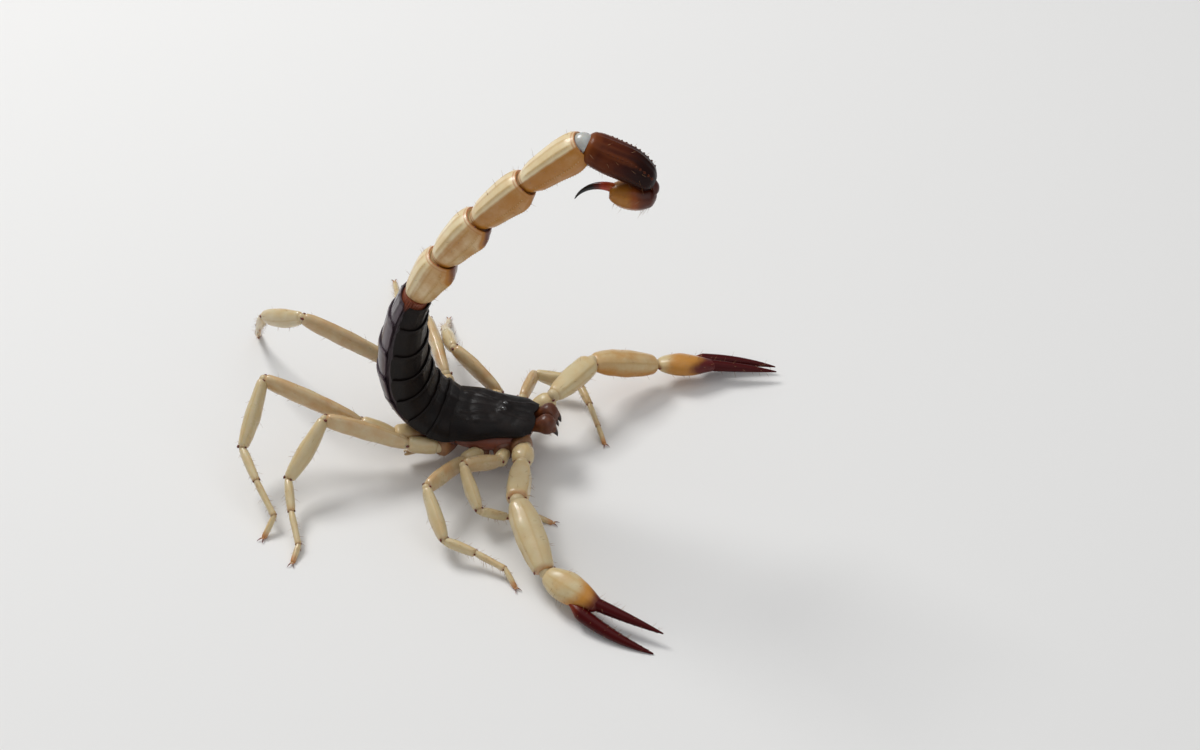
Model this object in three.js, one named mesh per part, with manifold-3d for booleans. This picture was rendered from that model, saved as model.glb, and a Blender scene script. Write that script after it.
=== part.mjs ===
// A desert scorpion at life size, in millimetres, standing with its tail arched over its back.
// X runs forward along the body, Y to its left and Z up. The soles of the eight feet lie in the plane
// z = 0.
import * as THREE from "three";
import { mergeVertices } from "three/addons/utils/BufferGeometryUtils.js";
import Module from "manifold-3d";

const wasm = await Module();
wasm.setup();

// The clear space left between two neighbouring pieces.
const gap = 0.28;
const limbSides = 8;
const bodySides = 12;

// The front part of the body. The carapace roofs it and the underside carries the hips of all the limbs.
const prosoma = {
  front: 9.2,
  rear: -1.5,
  axisHeight: 5.5,
  frontWide: 3.0,
  rearWide: 4.9,
  frontTop: 1.8,
  rearTop: 2.9,
  rim: 0.7,
  bellyDepth: 2.9,
};
const eye = { x: 4.9, apart: 0.95, lift: 0.12, radius: 0.42 };
const chelicera = {
  length: 4.0,
  wide: 1.15,
  deep: 1.25,
  apart: 2.5,
  height: 6.1,
  inset: 0.6,
  yaw: 5,
  pitch: -12,
  shape: [[0, 0.85], [0.3, 1], [0.6, 0.92], [0.85, 0.6], [1, 0.25]],
};
const pecten = {
  x: -3.4,
  y: 1.1,
  z: 2.05,
  length: 5.4,
  wide: 0.85,
  deep: 0.32,
  yaw: 152,
  pitch: -3,
  shape: [[0, 0.6], [0.15, 1], [0.7, 0.9], [1, 0.45]],
};

// The spine runs from the back edge of the carapace to the end of the tail. The angle of each ring is its
// direction in the XZ plane, from 180 (straight back) round to 0 (straight forward).
const spineStart = { x: -1.5, z: 5.7, angle: 180 };
const backRings = [
  { length: 2.8, angle: 157, wide: 5.0, top: 3.0, bottom: 2.9 },
  { length: 2.9, angle: 139, wide: 5.1, top: 3.1, bottom: 3.0 },
  { length: 3.2, angle: 115, wide: 5.1, top: 3.1, bottom: 3.1 },
  { length: 3.3, angle: 98, wide: 5.0, top: 3.1, bottom: 3.1 },
  { length: 3.5, angle: 86, wide: 4.7, top: 3.0, bottom: 3.0 },
  { length: 3.9, angle: 79, wide: 4.1, top: 2.7, bottom: 2.7 },
  { length: 3.6, angle: 69, wide: 3.2, top: 2.2, bottom: 2.1 },
];
const tailRings = [
  { length: 7.2, angle: 60, wide: 2.55, top: 2.5, bottom: 2.25 },
  { length: 7.9, angle: 52, wide: 2.45, top: 2.45, bottom: 2.25 },
  { length: 8.4, angle: 45, wide: 2.3, top: 2.2, bottom: 2.1 },
  { length: 9.2, angle: 41, wide: 2.2, top: 2.1, bottom: 2.1 },
  { length: 9.8, angle: -25, wide: 2.1, top: 1.95, bottom: 1.95 },
];
// Share of the length and share of the thickness, from one end of a piece to the other.
const backShape = [[0, 0.96], [0.5, 1], [1, 0.97]];
const tailShape = [[0, 0.72], [0.1, 0.88], [0.45, 1], [0.85, 1.02], [1, 0.8]];
const lastTailShape = [[0, 0.82], [0.1, 0.98], [0.4, 1.03], [0.75, 0.95], [1, 0.6]];
const bladderShape = [[0, 0.42], [0.12, 0.75], [0.38, 1], [0.65, 0.93], [0.88, 0.62], [1, 0.38]];

// The telson is folded back under the last ring, and its sting curves downwards.
const bladder = { x: 24.6, z: 43.4, angle: 178, length: 5.9, wide: 1.75, top: 1.35, bottom: 1.85 };
const sting = { x: 18.9, z: 44.2, length: 5.3, startAngle: 166, endAngle: 246, base: 0.62, tip: 0.17 };

// The pedipalps, from the trochanter to the fingers, which bend inwards from the hand. Yaw turns from
// forward towards the left, and pitch lifts.
const palpLengths = { trochanter: 4.1, femur: 8.4, patella: 10.6, hand: 7.0, finger: 10.2 };
const palpPieces = {
  trochanter: { wide: 1.4, deep: 1.35, shape: [[0, 0.75], [0.4, 1], [1, 0.8]] },
  femur: { wide: 1.6, deep: 1.4, shape: [[0, 0.7], [0.25, 0.95], [0.75, 1], [1, 0.8]] },
  patella: { wide: 1.95, deep: 1.7, shape: [[0, 0.62], [0.2, 0.92], [0.5, 1.04], [0.85, 0.92], [1, 0.7]] },
  hand: { wide: 2.2, deep: 1.5, shape: [[0, 0.5], [0.14, 0.8], [0.42, 1], [0.72, 0.95], [1, 0.62]] },
};
const palps = {
  right: {
    hip: [8.0, -3.2, 4.2],
    yaws: [-85, -84, -61, -33, -21],
    pitches: [12, 10, -18, -7, -6],
    handRoll: 34,
    outer: -1,
  },
  left: {
    hip: [8.0, 3.2, 4.2],
    yaws: [26, 61, 34, 18, 8],
    pitches: [44, 1, -22, -7, -5],
    handRoll: 8,
    outer: 1,
  },
};
// The fixed finger grows from the inner half of the hand, and the free finger is hinged on its outer half.
const fixedFinger = { wide: 0.95, deep: 0.75, tip: 0.28, overlap: 0.8, inset: 0.7, bow: 0.3 };
const freeFinger = {
  wide: 0.95,
  deep: 0.85,
  tip: 0.28,
  overlap: 1.9,
  shorter: 0.7,
  offset: 1.15,
  bow: 0.75,
};

// The legs, from the front pair to the hind pair. Lengths run trochanter, femur, patella, tibia,
// basitarsus and telotarsus.
const legs = [
  { hip: [5.6, 4.0, 3.8], lengths: [2.6, 6.2, 6.2, 4.0, 3.8, 2.6], thick: 0.88 },
  { hip: [2.2, 4.3, 3.8], lengths: [3.0, 8.5, 7.4, 4.3, 4.3, 2.8], thick: 0.95 },
  { hip: [-3.2, 4.3, 4.0], lengths: [4.2, 11.2, 9.0, 4.6, 4.8, 2.6], thick: 1.0 },
  { hip: [-9.0, 3.8, 4.8], lengths: [5.0, 13.6, 9.4, 5.2, 5.2, 3.1], thick: 1.0 },
];
// The pitch of the last joint of each leg is found from the floor.
const legPoses = {
  right: [
    { yaws: [-100, -132, -58, 20, 30, -10], pitches: [12, 26, -33, -27, -15] },
    { yaws: [-125, -112, -60, -10, -22, -50], pitches: [5, 14, -26, -12, -8] },
    { yaws: [-167, -171, -119, -72, -66, -95], pitches: [12, 23, -35, -22, -18] },
    { yaws: [179, 177, -101, -55, -50, -112], pitches: [20, 23, -38, -20, -26] },
  ],
  left: [
    { yaws: [78, 84, -4, -60, -64, -60], pitches: [14, -8, -6, -10, -12] },
    { yaws: [80, 152, 112, 105, 95, 100], pitches: [14, 28, -20, -34, -30] },
    { yaws: [112, 114, 128, 118, 105, 110], pitches: [40, 4, -30, -20, -10] },
    { yaws: [131, 176, 146, 124, 116, 107], pitches: [49, 25, -27, -50, -50] },
  ],
};
const legPieces = [
  { wide: 0.95, deep: 1.1, shape: [[0, 0.75], [0.35, 1], [0.8, 1], [1, 0.8]] },
  { wide: 0.88, deep: 1.28, shape: [[0, 0.62], [0.15, 0.9], [0.6, 1], [0.9, 0.9], [1, 0.62]] },
  { wide: 0.95, deep: 1.28, shape: [[0, 0.6], [0.15, 0.85], [0.55, 1.02], [0.88, 0.85], [1, 0.6]] },
  { wide: 0.6, deep: 0.72, shape: [[0, 0.8], [0.3, 1], [0.8, 0.95], [1, 0.8]] },
  { wide: 0.45, deep: 0.5, shape: [[0, 1], [1, 0.9]] },
  { wide: 0.4, deep: 0.42, shape: [[0, 1], [1, 0.85]] },
];
const soleHeight = 0.15;
const socket = 0.3;
// The hips are arms that fan out from the midline, those of the front limbs starting further forward.
const hipArm = {
  inset: 1.3,
  height: 3.7,
  thick: 1.2,
  palpThick: 1.55,
  gather: 0.55,
  forward: 0.6,
  rear: -1.2,
  shape: [[0, 1], [1, 0.85]],
};

const shell = { color: 0x1d1513, roughness: 0.42 };
const looks = {
  shell,
  belly: { color: 0x84492c, roughness: 0.5 },
  straw: { color: 0xcfbd88, roughness: 0.4 },
  cream: { color: 0xd0b074, roughness: 0.42 },
  darkTail: { color: 0x4c2016, roughness: 0.4 },
  amber: { color: 0xb98638, roughness: 0.35 },
  maroon: { color: 0x5e1a1b, roughness: 0.38 },
  jaw: { color: 0x6c3b23, roughness: 0.4 },
  eye: { color: 0x070606, roughness: 0.12 },
  comb: { color: 0xc6a678, roughness: 0.5 },
  sting: { color: 0x35120c, roughness: 0.3 },
};

const toRadians = THREE.MathUtils.degToRad;
const toDegrees = THREE.MathUtils.radToDeg;

// A closed body from a three.js geometry, with its faces turned outwards.
function solidOf(geometry) {
  const bare = geometry.clone();
  bare.deleteAttribute("normal");
  bare.deleteAttribute("uv");
  const merged = mergeVertices(bare, 1e-4);
  const vertProperties = merged.attributes.position.array;
  const triVerts = new Uint32Array(merged.index.array);
  const solid = new wasm.Manifold(new wasm.Mesh({ numProp: 3, vertProperties, triVerts }));
  if (solid.volume() >= 0) {
    return solid;
  }
  triVerts.reverse();
  return new wasm.Manifold(new wasm.Mesh({ numProp: 3, vertProperties, triVerts }));
}

// A tube through a row of stations. A station gives its middle (x, y, z), its turn in the XZ plane, its
// half width, and its half depths above and below the middle. Both ends are closed by flat faces.
function tube(stations, sides) {
  const last = stations.length - 1;
  const rows = [stations[0], ...stations, stations[last]];
  const profile = rows.map((row, k) => new THREE.Vector2(k === 0 || k === last + 2 ? 0 : 1, k));
  const geometry = new THREE.LatheGeometry(profile, sides);
  const points = geometry.attributes.position;
  for (let i = 0; i < points.count; i += 1) {
    const row = rows[i % rows.length];
    const across = points.getX(i) * row.wide;
    const up = points.getZ(i) * (points.getZ(i) > 0 ? row.top : row.bottom);
    const turn = toRadians(row.turn || 0);
    const x = row.x - up * Math.sin(turn);
    points.setXYZ(i, x, (row.y || 0) + across, (row.z || 0) + up * Math.cos(turn));
  }
  return geometry;
}

// The frame of a limb piece: X along the piece, Z as near to upright as it can be, then the roll about X.
function frameAt(start, yaw, pitch, roll = 0) {
  const frame = new THREE.Matrix4().makeTranslation(start.x, start.y, start.z);
  frame.multiply(new THREE.Matrix4().makeRotationZ(toRadians(yaw)));
  frame.multiply(new THREE.Matrix4().makeRotationY(toRadians(-pitch)));
  return frame.multiply(new THREE.Matrix4().makeRotationX(toRadians(roll)));
}

// A straight piece of a limb. Grow thickens it all round, and reach lengthens only its start.
function limb(frame, length, wide, deep, shape, grow, reach = 0) {
  const stations = shape.map(([along, share], k) => ({
    x: along * length + (k === 0 ? -grow - reach : 0) + (k === shape.length - 1 ? grow : 0),
    wide: wide * share + grow,
    top: deep * share + grow,
    bottom: deep * share + grow,
  }));
  return solidOf(tube(stations, limbSides).applyMatrix4(frame));
}

function direction(yaw, pitch) {
  const flat = Math.cos(toRadians(pitch));
  const [cosine, sine] = [Math.cos(toRadians(yaw)), Math.sin(toRadians(yaw))];
  return new THREE.Vector3(flat * cosine, flat * sine, Math.sin(toRadians(pitch)));
}

// The joints of a limb, from its hip outwards.
function jointsOf(hip, lengths, yaws, pitches) {
  const joints = [new THREE.Vector3(...hip)];
  lengths.forEach((length, k) => {
    joints.push(joints[k].clone().addScaledVector(direction(yaws[k], pitches[k]), length));
  });
  return joints;
}

const group = new THREE.Group();
group.name = "desert_scorpion";
const kept = [];

// Adds one named piece. Make(grow) gives its body, and the pieces already there are cut out of it with
// the gap.
function add(name, look, make) {
  let solid = make(0);
  for (const other of kept) {
    const [a, b] = [solid.boundingBox(), other.grown.boundingBox()];
    if ([0, 1, 2].every((k) => a.min[k] < b.max[k] && b.min[k] < a.max[k])) {
      solid = solid.subtract(other.grown);
    }
  }
  const bodies = solid.decompose().sort((a, b) => b.volume() - a.volume());
  kept.push({ name, grown: make(gap) });
  const made = bodies[0].getMesh();
  const geometry = new THREE.BufferGeometry();
  const positions = new Float32Array(made.numVert * 3);
  for (let i = 0; i < made.numVert; i += 1) {
    positions.set(made.vertProperties.subarray(i * made.numProp, i * made.numProp + 3), i * 3);
  }
  geometry.setAttribute("position", new THREE.BufferAttribute(positions, 3));
  geometry.setIndex(new THREE.BufferAttribute(new Uint32Array(made.triVerts), 1));
  geometry.computeVertexNormals();
  const material = new THREE.MeshStandardMaterial({ ...looks[look], metalness: 0 });
  const mesh = new THREE.Mesh(geometry, material);
  mesh.name = name;
  group.add(mesh);
}

// One ring of the spine. Its end faces are turned halfway towards the rings on either side.
function ring(at, size, before, after, shape, grow) {
  const heading = toRadians(size.angle);
  const spare = gap * 0.6 - grow;
  const stations = shape.map(([along, share], k) => {
    const first = k === 0;
    const last = k === shape.length - 1;
    const x = along * size.length + (first ? spare : 0) - (last ? spare : 0);
    const angle = first ? (size.angle + before) / 2 : last ? (size.angle + after) / 2 : size.angle;
    return {
      x: at.x + x * Math.cos(heading),
      z: at.z + x * Math.sin(heading),
      turn: angle - 180,
      wide: size.wide * share + grow,
      top: size.top * share + grow,
      bottom: size.bottom * share + grow,
    };
  });
  return solidOf(tube(stations, bodySides));
}

// The roof of the prosoma, broad behind and narrow in front, with its flat rim below.
function carapace(grow) {
  const stations = [[0, 0.97, 0.95], [0.3, 1, 1], [0.62, 0.86, 0.95], [0.9, 0.5, 0.45], [1, 0.12, 0.05]];
  const length = prosoma.front - prosoma.rear;
  return solidOf(
    tube(
      stations.map(([along, wide, top], k) => ({
        x: prosoma.rear + along * length + (k === 0 ? -grow : 0) + (k === stations.length - 1 ? grow : 0),
        z: prosoma.axisHeight,
        wide: prosoma.frontWide + (prosoma.rearWide - prosoma.frontWide) * wide + grow,
        top: prosoma.frontTop + (prosoma.rearTop - prosoma.frontTop) * top + grow,
        bottom: prosoma.rim + grow,
      })),
      bodySides,
    ),
  );
}

// The breastplate with the ten hips, each an arm from the midline to the start of its limb.
function underside(grow) {
  const length = prosoma.front - prosoma.rear;
  const shape = [[0.02, 0.72], [0.3, 0.9], [0.6, 0.78], [0.93, 0.5]];
  let solid = solidOf(
    tube(
      shape.map(([along, share], k) => ({
        x: prosoma.rear + along * length + (k === 0 ? -grow : 0) + (k === shape.length - 1 ? grow : 0),
        z: prosoma.axisHeight - prosoma.rim,
        wide: prosoma.rearWide * share + grow,
        top: 0.5 + grow,
        bottom: (prosoma.bellyDepth - prosoma.rim) * (0.55 + 0.45 * share) + grow,
      })),
      bodySides,
    ),
  );
  const arms = legs.map((leg) => ({ hip: leg.hip, thick: hipArm.thick }));
  arms.push({ hip: palps.left.hip, thick: hipArm.palpThick });
  for (const { hip, thick } of arms) {
    const [x, y, z] = hip;
    for (const side of [-1, 1]) {
      const innerX = Math.max(x * hipArm.gather + hipArm.forward, hipArm.rear);
      const inner = new THREE.Vector3(innerX, side * hipArm.inset, hipArm.height);
      const reach = new THREE.Vector3(x, side * y, z).sub(inner);
      const yaw = toDegrees(Math.atan2(reach.y, reach.x));
      const pitch = toDegrees(Math.asin(reach.z / reach.length()));
      const frame = frameAt(inner, yaw, pitch);
      solid = solid.add(limb(frame, reach.length() - gap / 2, thick, thick, hipArm.shape, grow));
    }
  }
  return solid;
}

// A finger that tapers to its tip and bows away from its partner.
function finger(frame, length, size, start, side, grow) {
  const stations = [0, 0.2, 0.45, 0.7, 0.9, 1].map((along) => {
    const taper = 1 - along ** 1.6;
    return {
      x: start.x + along * length + (along === 0 ? -grow : 0) + (along === 1 ? grow : 0),
      y: start.y + side * (size.bow * Math.sin(Math.PI * along) - size.tip * 0.4 * along),
      z: 0,
      wide: size.tip + (size.wide - size.tip) * taper + grow,
      top: size.tip + (size.deep - size.tip) * taper + grow,
      bottom: size.tip + (size.deep - size.tip) * taper + grow,
    };
  });
  return solidOf(tube(stations, limbSides).applyMatrix4(frame));
}

add("carapace", "shell", carapace);
for (const side of [-1, 1]) {
  add(side < 0 ? "eye_right" : "eye_left", "eye", (grow) =>
    solidOf(
      new THREE.SphereGeometry(eye.radius + grow, 8, 6).translate(
        eye.x,
        (side * eye.apart) / 2,
        prosoma.axisHeight + prosoma.rearTop + eye.lift,
      ),
    ),
  );
}
add("prosoma_underside", "belly", underside);
for (const side of [-1, 1]) {
  const { length, wide, deep, apart, height, inset, yaw, pitch, shape } = chelicera;
  const base = new THREE.Vector3(prosoma.front - inset, (side * apart) / 2, height);
  const frame = frameAt(base, -side * yaw, pitch);
  const name = side < 0 ? "chelicera_right" : "chelicera_left";
  add(name, "jaw", (grow) => limb(frame, length, wide, deep, shape, grow));
}

// The seven rings of the back and the five of the tail.
let place = { x: spineStart.x, z: spineStart.z };
const rings = [...backRings, ...tailRings];
rings.forEach((size, k) => {
  const onBack = k < backRings.length;
  const at = place;
  const before = k === 0 ? spineStart.angle : rings[k - 1].angle;
  const isLast = k === rings.length - 1;
  const after = isLast ? size.angle : rings[k + 1].angle;
  const name = onBack ? `mesosoma_${k + 1}` : `metasoma_${k + 1 - backRings.length}`;
  const shape = onBack ? backShape : isLast ? lastTailShape : tailShape;
  const look = onBack ? "shell" : isLast ? "darkTail" : "cream";
  const startAngle = isLast ? size.angle : before;
  const endAngle = k === rings.length - 2 ? size.angle : after;
  add(name, look, (grow) => ring(at, size, startAngle, endAngle, shape, grow));
  const heading = toRadians(size.angle);
  place = { x: at.x + size.length * Math.cos(heading), z: at.z + size.length * Math.sin(heading) };
});
add("telson_vesicle", "amber", (grow) => {
  return ring(bladder, bladder, bladder.angle, bladder.angle, bladderShape, grow);
});
add("aculeus", "sting", (grow) => {
  const steps = 7;
  const stations = [];
  let [x, z] = [sting.x, sting.z];
  for (let k = 0; k <= steps; k += 1) {
    const along = k / steps;
    const angle = sting.startAngle + (sting.endAngle - sting.startAngle) * along;
    const thick = sting.base + (sting.tip - sting.base) * along ** 0.8 + grow;
    stations.push({ x, z, turn: angle - 180, wide: thick, top: thick, bottom: thick });
    x += (sting.length / steps) * Math.cos(toRadians(angle));
    z += (sting.length / steps) * Math.sin(toRadians(angle));
  }
  return solidOf(tube(stations, limbSides));
});

for (const [sideName, palp] of Object.entries(palps)) {
  const { hip, yaws, pitches, outer } = palp;
  const joints = jointsOf(hip, Object.values(palpLengths), yaws, pitches);
  const piece = (name, k, roll, grow) => {
    const { wide, deep, shape } = palpPieces[name];
    return limb(frameAt(joints[k], yaws[k], pitches[k], roll), palpLengths[name], wide, deep, shape, grow);
  };
  ["trochanter", "femur", "patella"].forEach((name, k) => {
    add(`palp_${sideName}_${name}`, "straw", (grow) => piece(name, k, 0, grow));
  });
  const roll = -outer * palp.handRoll;
  const fingers = frameAt(joints[4], yaws[4], pitches[4], roll);
  add(`palp_${sideName}_hand`, "straw", (grow) => {
    const start = { x: -fixedFinger.overlap, y: -outer * fixedFinger.inset };
    const fixed = finger(fingers, palpLengths.finger, fixedFinger, start, -outer, grow);
    return piece("hand", 3, roll, grow).add(fixed);
  });
  add(`palp_${sideName}_free_finger`, "maroon", (grow) => {
    const start = { x: -freeFinger.overlap, y: outer * freeFinger.offset };
    const length = palpLengths.finger + freeFinger.overlap - freeFinger.shorter;
    return finger(fingers, length, freeFinger, start, outer, grow);
  });
}

// Everything under the floor plane, taken off the feet so that each stands on a small flat sole.
const underFloor = solidOf(new THREE.BoxGeometry(200, 200, 20).translate(0, 0, -10));
for (const [sideName, poses] of Object.entries(legPoses)) {
  poses.forEach((pose, k) => {
    const { lengths, thick } = legs[k];
    const hip = [...legs[k].hip];
    hip[1] *= sideName === "right" ? -1 : 1;
    const upper = jointsOf(hip, lengths.slice(0, 5), pose.yaws, pose.pitches);
    const lastPitch = toDegrees(Math.asin((soleHeight - upper[5].z) / lengths[5]));
    const pitches = [...pose.pitches, lastPitch];
    const piece = (i, grow, reach) => {
      const { wide, deep, shape } = legPieces[i];
      const frame = frameAt(upper[i], pose.yaws[i], pitches[i]);
      return limb(frame, lengths[i], wide * thick, deep * thick, shape, grow, reach);
    };
    const name = `leg_${sideName}_${k + 1}`;
    add(`${name}_femur`, "straw", (grow) => piece(0, grow, 0).add(piece(1, grow, socket)));
    add(`${name}_patella`, "straw", (grow) => piece(2, grow, 0));
    add(`${name}_foot`, "straw", (grow) => {
      const tarsus = piece(4, grow, socket).add(piece(5, grow, socket));
      return piece(3, grow, 0).add(tarsus).subtract(underFloor);
    });
  });
}
for (const side of [-1, 1]) {
  const { x, y, z, length, wide, deep, yaw, pitch, shape } = pecten;
  const frame = frameAt(new THREE.Vector3(x, side * y, z), side * yaw, pitch);
  const name = side < 0 ? "pecten_right" : "pecten_left";
  add(name, "comb", (grow) => limb(frame, length, wide, deep, shape, grow));
}

// The origin is the middle of the whole outline, on the floor.
const outline = new THREE.Box3().setFromObject(group);
const middle = outline.getCenter(new THREE.Vector3());
for (const mesh of group.children) {
  mesh.position.set(-middle.x, -middle.y, 0);
}

export default group;
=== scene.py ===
# A desert scorpion at life size, standing with its tail arched over its back.
# Shapes are worked out in millimetres, with X forward, Y to the animal's left and Z up.
import random
from math import asin, cos, degrees, exp, hypot, pi, radians, sin, sqrt, tau

import bmesh
import bpy
from mathutils import Matrix, Vector


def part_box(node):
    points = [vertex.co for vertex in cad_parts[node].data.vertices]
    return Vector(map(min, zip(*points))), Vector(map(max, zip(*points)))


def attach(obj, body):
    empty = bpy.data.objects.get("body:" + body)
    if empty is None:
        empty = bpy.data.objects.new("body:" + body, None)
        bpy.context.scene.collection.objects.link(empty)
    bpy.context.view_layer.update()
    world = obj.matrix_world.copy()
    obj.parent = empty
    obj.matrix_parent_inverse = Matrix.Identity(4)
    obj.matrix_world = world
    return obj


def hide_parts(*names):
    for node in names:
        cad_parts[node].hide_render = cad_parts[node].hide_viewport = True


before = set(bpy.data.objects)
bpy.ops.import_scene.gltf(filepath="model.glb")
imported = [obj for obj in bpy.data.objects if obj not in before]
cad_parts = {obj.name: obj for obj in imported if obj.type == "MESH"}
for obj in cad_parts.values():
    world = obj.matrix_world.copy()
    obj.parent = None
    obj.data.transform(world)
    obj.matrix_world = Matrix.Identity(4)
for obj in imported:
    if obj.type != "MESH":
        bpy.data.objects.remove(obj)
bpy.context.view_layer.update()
random.seed(7)
mm = 0.001
sides = {"right": -1, "left": 1}

prosoma = {
    "front": 9.2,
    "rear": -1.5,
    "frontWide": 3.0,
    "rearWide": 4.9,
}

# the drawing's origin is under the carapace, ahead of its back edge
carapaceLow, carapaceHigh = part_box("carapace")
drawingOrigin = Vector((carapaceLow.x - prosoma["rear"] * mm, (carapaceLow.y + carapaceHigh.y) / 2, 0))
toFrame = Matrix.Translation(drawingOrigin) @ Matrix.Scale(mm, 4)
print("Frame loaded:", len(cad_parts), "nodes")


def valueAt(points, share):
    # a smooth curve through (share, value) pairs
    last = len(points) - 1
    k = 0
    while k < last - 1 and share > points[k + 1][0]:
        k += 1
    (a, start), (b, end) = points[k], points[k + 1]
    before = points[max(k - 1, 0)]
    after = points[min(k + 2, last)]
    span = b - a
    leave = (end - before[1]) / (b - before[0]) * span
    arrive = (after[1] - start) / (after[0] - a) * span
    u = min(max((share - a) / span, 0), 1)
    middle = start + (end - start) * (3 * u ** 2 - 2 * u ** 3)
    return middle + leave * (u ** 3 - 2 * u ** 2 + u) + arrive * (u ** 3 - u ** 2)


def smoothStep(low, high, value):
    u = min(max((value - low) / (high - low), 0), 1)
    return u * u * (3 - 2 * u)


def hump(value, middle, spread):
    return exp(-((value - middle) / spread) ** 2)


def angleHump(angle, middle, spread):
    # angles run from 0 at the side through 90 on top
    away = (degrees(angle) - middle + 180) % 360 - 180
    return exp(-(away / spread) ** 2)


def evenly(start, end, count):
    return [start + (end - start) * k / (count - 1) for k in range(count)]


def frameAt(start, yaw, pitch, roll=0):
    # X along the piece, Z as near to upright as it can be
    turn = Matrix.Rotation(radians(yaw), 4, "Z") @ Matrix.Rotation(radians(-pitch), 4, "Y")
    return Matrix.Translation(start) @ turn @ Matrix.Rotation(radians(roll), 4, "X")


def direction(yaw, pitch):
    flat = cos(radians(pitch))
    return Vector((flat * cos(radians(yaw)), flat * sin(radians(yaw)), sin(radians(pitch))))


def jointsOf(hip, lengths, yaws, pitches):
    # the hip and the far joint of each piece
    joints = [Vector(hip)]
    for length, yaw, pitch in zip(lengths, yaws, pitches):
        joints.append(joints[-1] + direction(yaw, pitch) * length)
    return joints


def spineFrame(x, z, heading):
    # X towards the sting, Z towards the dorsal side
    a = radians(heading)
    columns = (Vector((cos(a), 0, sin(a))), Vector((0, -1, 0)), Vector((sin(a), 0, -cos(a))))
    return Matrix.Translation((x, 0, z)) @ Matrix(columns).transposed().to_4x4()


def newMesh():
    bm = bmesh.new()
    for name in ("ridge", "ends", "tone"):
        bm.verts.layers.float.new(name)
    return bm


def tag(bm, verts, **values):
    for name, value in values.items():
        layer = bm.verts.layers.float[name]
        for v in verts:
            v[layer] = value


def addTube(bm, corners, places, surface, **marks):
    # rings are extruded one from the other and laid on surface(x, angle), which gives a point
    # and a ridge mark; marks may hold the functions tone(x, angle) and ends(x, angle)
    ridgeLayer = bm.verts.layers.float["ridge"]
    ring = bmesh.ops.create_circle(bm, segments=corners, radius=1)["verts"]
    edges = list({e for v in ring for e in v.link_edges})
    firstEdges = edges
    for k, v in enumerate(ring):
        v[ridgeLayer] = k / corners * tau
    ridges = []
    for n, x in enumerate(places):
        if n:
            grown = bmesh.ops.extrude_edge_only(bm, edges=edges)["geom"]
            ring = [g for g in grown if isinstance(g, bmesh.types.BMVert)]
            known = set(ring)
            edges = [g for g in grown if isinstance(g, bmesh.types.BMEdge) and known.issuperset(g.verts)]
        for v in ring:
            angle = v[ridgeLayer]
            v.co, mark = surface(x, angle)
            ridges.append((v, mark))
            for name, value in marks.items():
                v[bm.verts.layers.float[name]] = value(x, angle)
    for v, mark in ridges:
        v[ridgeLayer] = mark
    for loop in (firstEdges, edges):
        bmesh.ops.edgeloop_fill(bm, edges=loop)


def addSheet(bm, columns, rows, surface, thickness):
    # a grid laid on surface(u, v), both from 0 to 1, and thickened inwards
    made = bmesh.ops.create_grid(bm, x_segments=columns, y_segments=rows, size=0.5)["verts"]
    ridgeLayer = bm.verts.layers.float["ridge"]
    for v in made:
        u, w = v.co.x + 0.5, v.co.y + 0.5
        v.co, v[ridgeLayer] = surface(u, w)
    faces = list({f for v in made for f in v.link_faces})
    bmesh.ops.recalc_face_normals(bm, faces=faces)
    bmesh.ops.solidify(bm, geom=faces, thickness=thickness)


def joinSmall(bm, things, makeOne, start=newMesh, batch=40):
    # small shapes are made a few at a time and then joined to the piece
    for k in range(0, len(things), batch):
        few = start()
        for thing in things[k:k + batch]:
            makeOne(few, thing)
        carrier = bpy.data.meshes.new("few")
        few.to_mesh(carrier)
        few.free()
        bm.from_mesh(carrier)
        bpy.data.meshes.remove(carrier)


def makeBead(bm, bead):
    place, size, tags = bead
    shape = place @ Matrix.Diagonal((*size, 1))
    made = bmesh.ops.create_icosphere(bm, subdivisions=1, radius=1, matrix=shape)
    tag(bm, made["verts"], **tags)


def beadAt(point, radius, **tags):
    return Matrix.Translation(point), (radius, radius, radius), tags


def addBall(bm, place, size, segments=28, rings=18, **tags):
    shape = place @ Matrix.Diagonal((*size, 1))
    made = bmesh.ops.create_uvsphere(bm, u_segments=segments, v_segments=rings, radius=1, matrix=shape)
    tag(bm, made["verts"], **tags)


def addObject(name, data):
    holder = bpy.data.objects.new(name, data)
    bpy.context.scene.collection.objects.link(holder)
    return holder


def finishPiece(bm, name, look, nodes=(), sharp=62):
    bmesh.ops.recalc_face_normals(bm, faces=bm.faces)
    bmesh.ops.transform(bm, matrix=toFrame, verts=bm.verts)
    for face in bm.faces:
        face.smooth = True
    mesh = bpy.data.meshes.new(name)
    bm.to_mesh(mesh)
    bm.free()
    mesh.set_sharp_from_angle(angle=radians(sharp))
    mesh.materials.append(materials[look])
    piece = addObject(name, mesh)
    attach(piece, "root")
    if nodes:
        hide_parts(*nodes)


def sectionPoint(angle, wide, up, down, square, keels, fade):
    # a rounded box section with raised keels given as (angle, height, spread)
    c, s = cos(angle), sin(angle)
    reach = (abs(c) ** square + abs(s) ** square) ** (-1 / square)
    y, z = reach * c * wide, reach * s * (up if s > 0 else down)
    lift, mark = 0, 0
    for at, height, spread in keels:
        share = angleHump(angle, at, spread) * fade
        lift += height * share
        mark = max(mark, share)
    grow = 1 + lift / max(hypot(y, z), 0.15)
    return y * grow, z * grow, mark


def capShare(x, length, cap):
    # rounds both ends over the length cap
    first, second = min(x / cap, 1), min((length - x) / cap, 1)
    return sqrt(max(1 - (1 - first) ** 2, 0)) * sqrt(max(1 - (1 - second) ** 2, 0))


def capPlaces(length, cap, count):
    rounds = [cap * (1 - cos(radians(a))) for a in (14, 32, 50, 70)]
    return rounds + evenly(cap, length - cap, count) + [length - x for x in reversed(rounds)]


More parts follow.
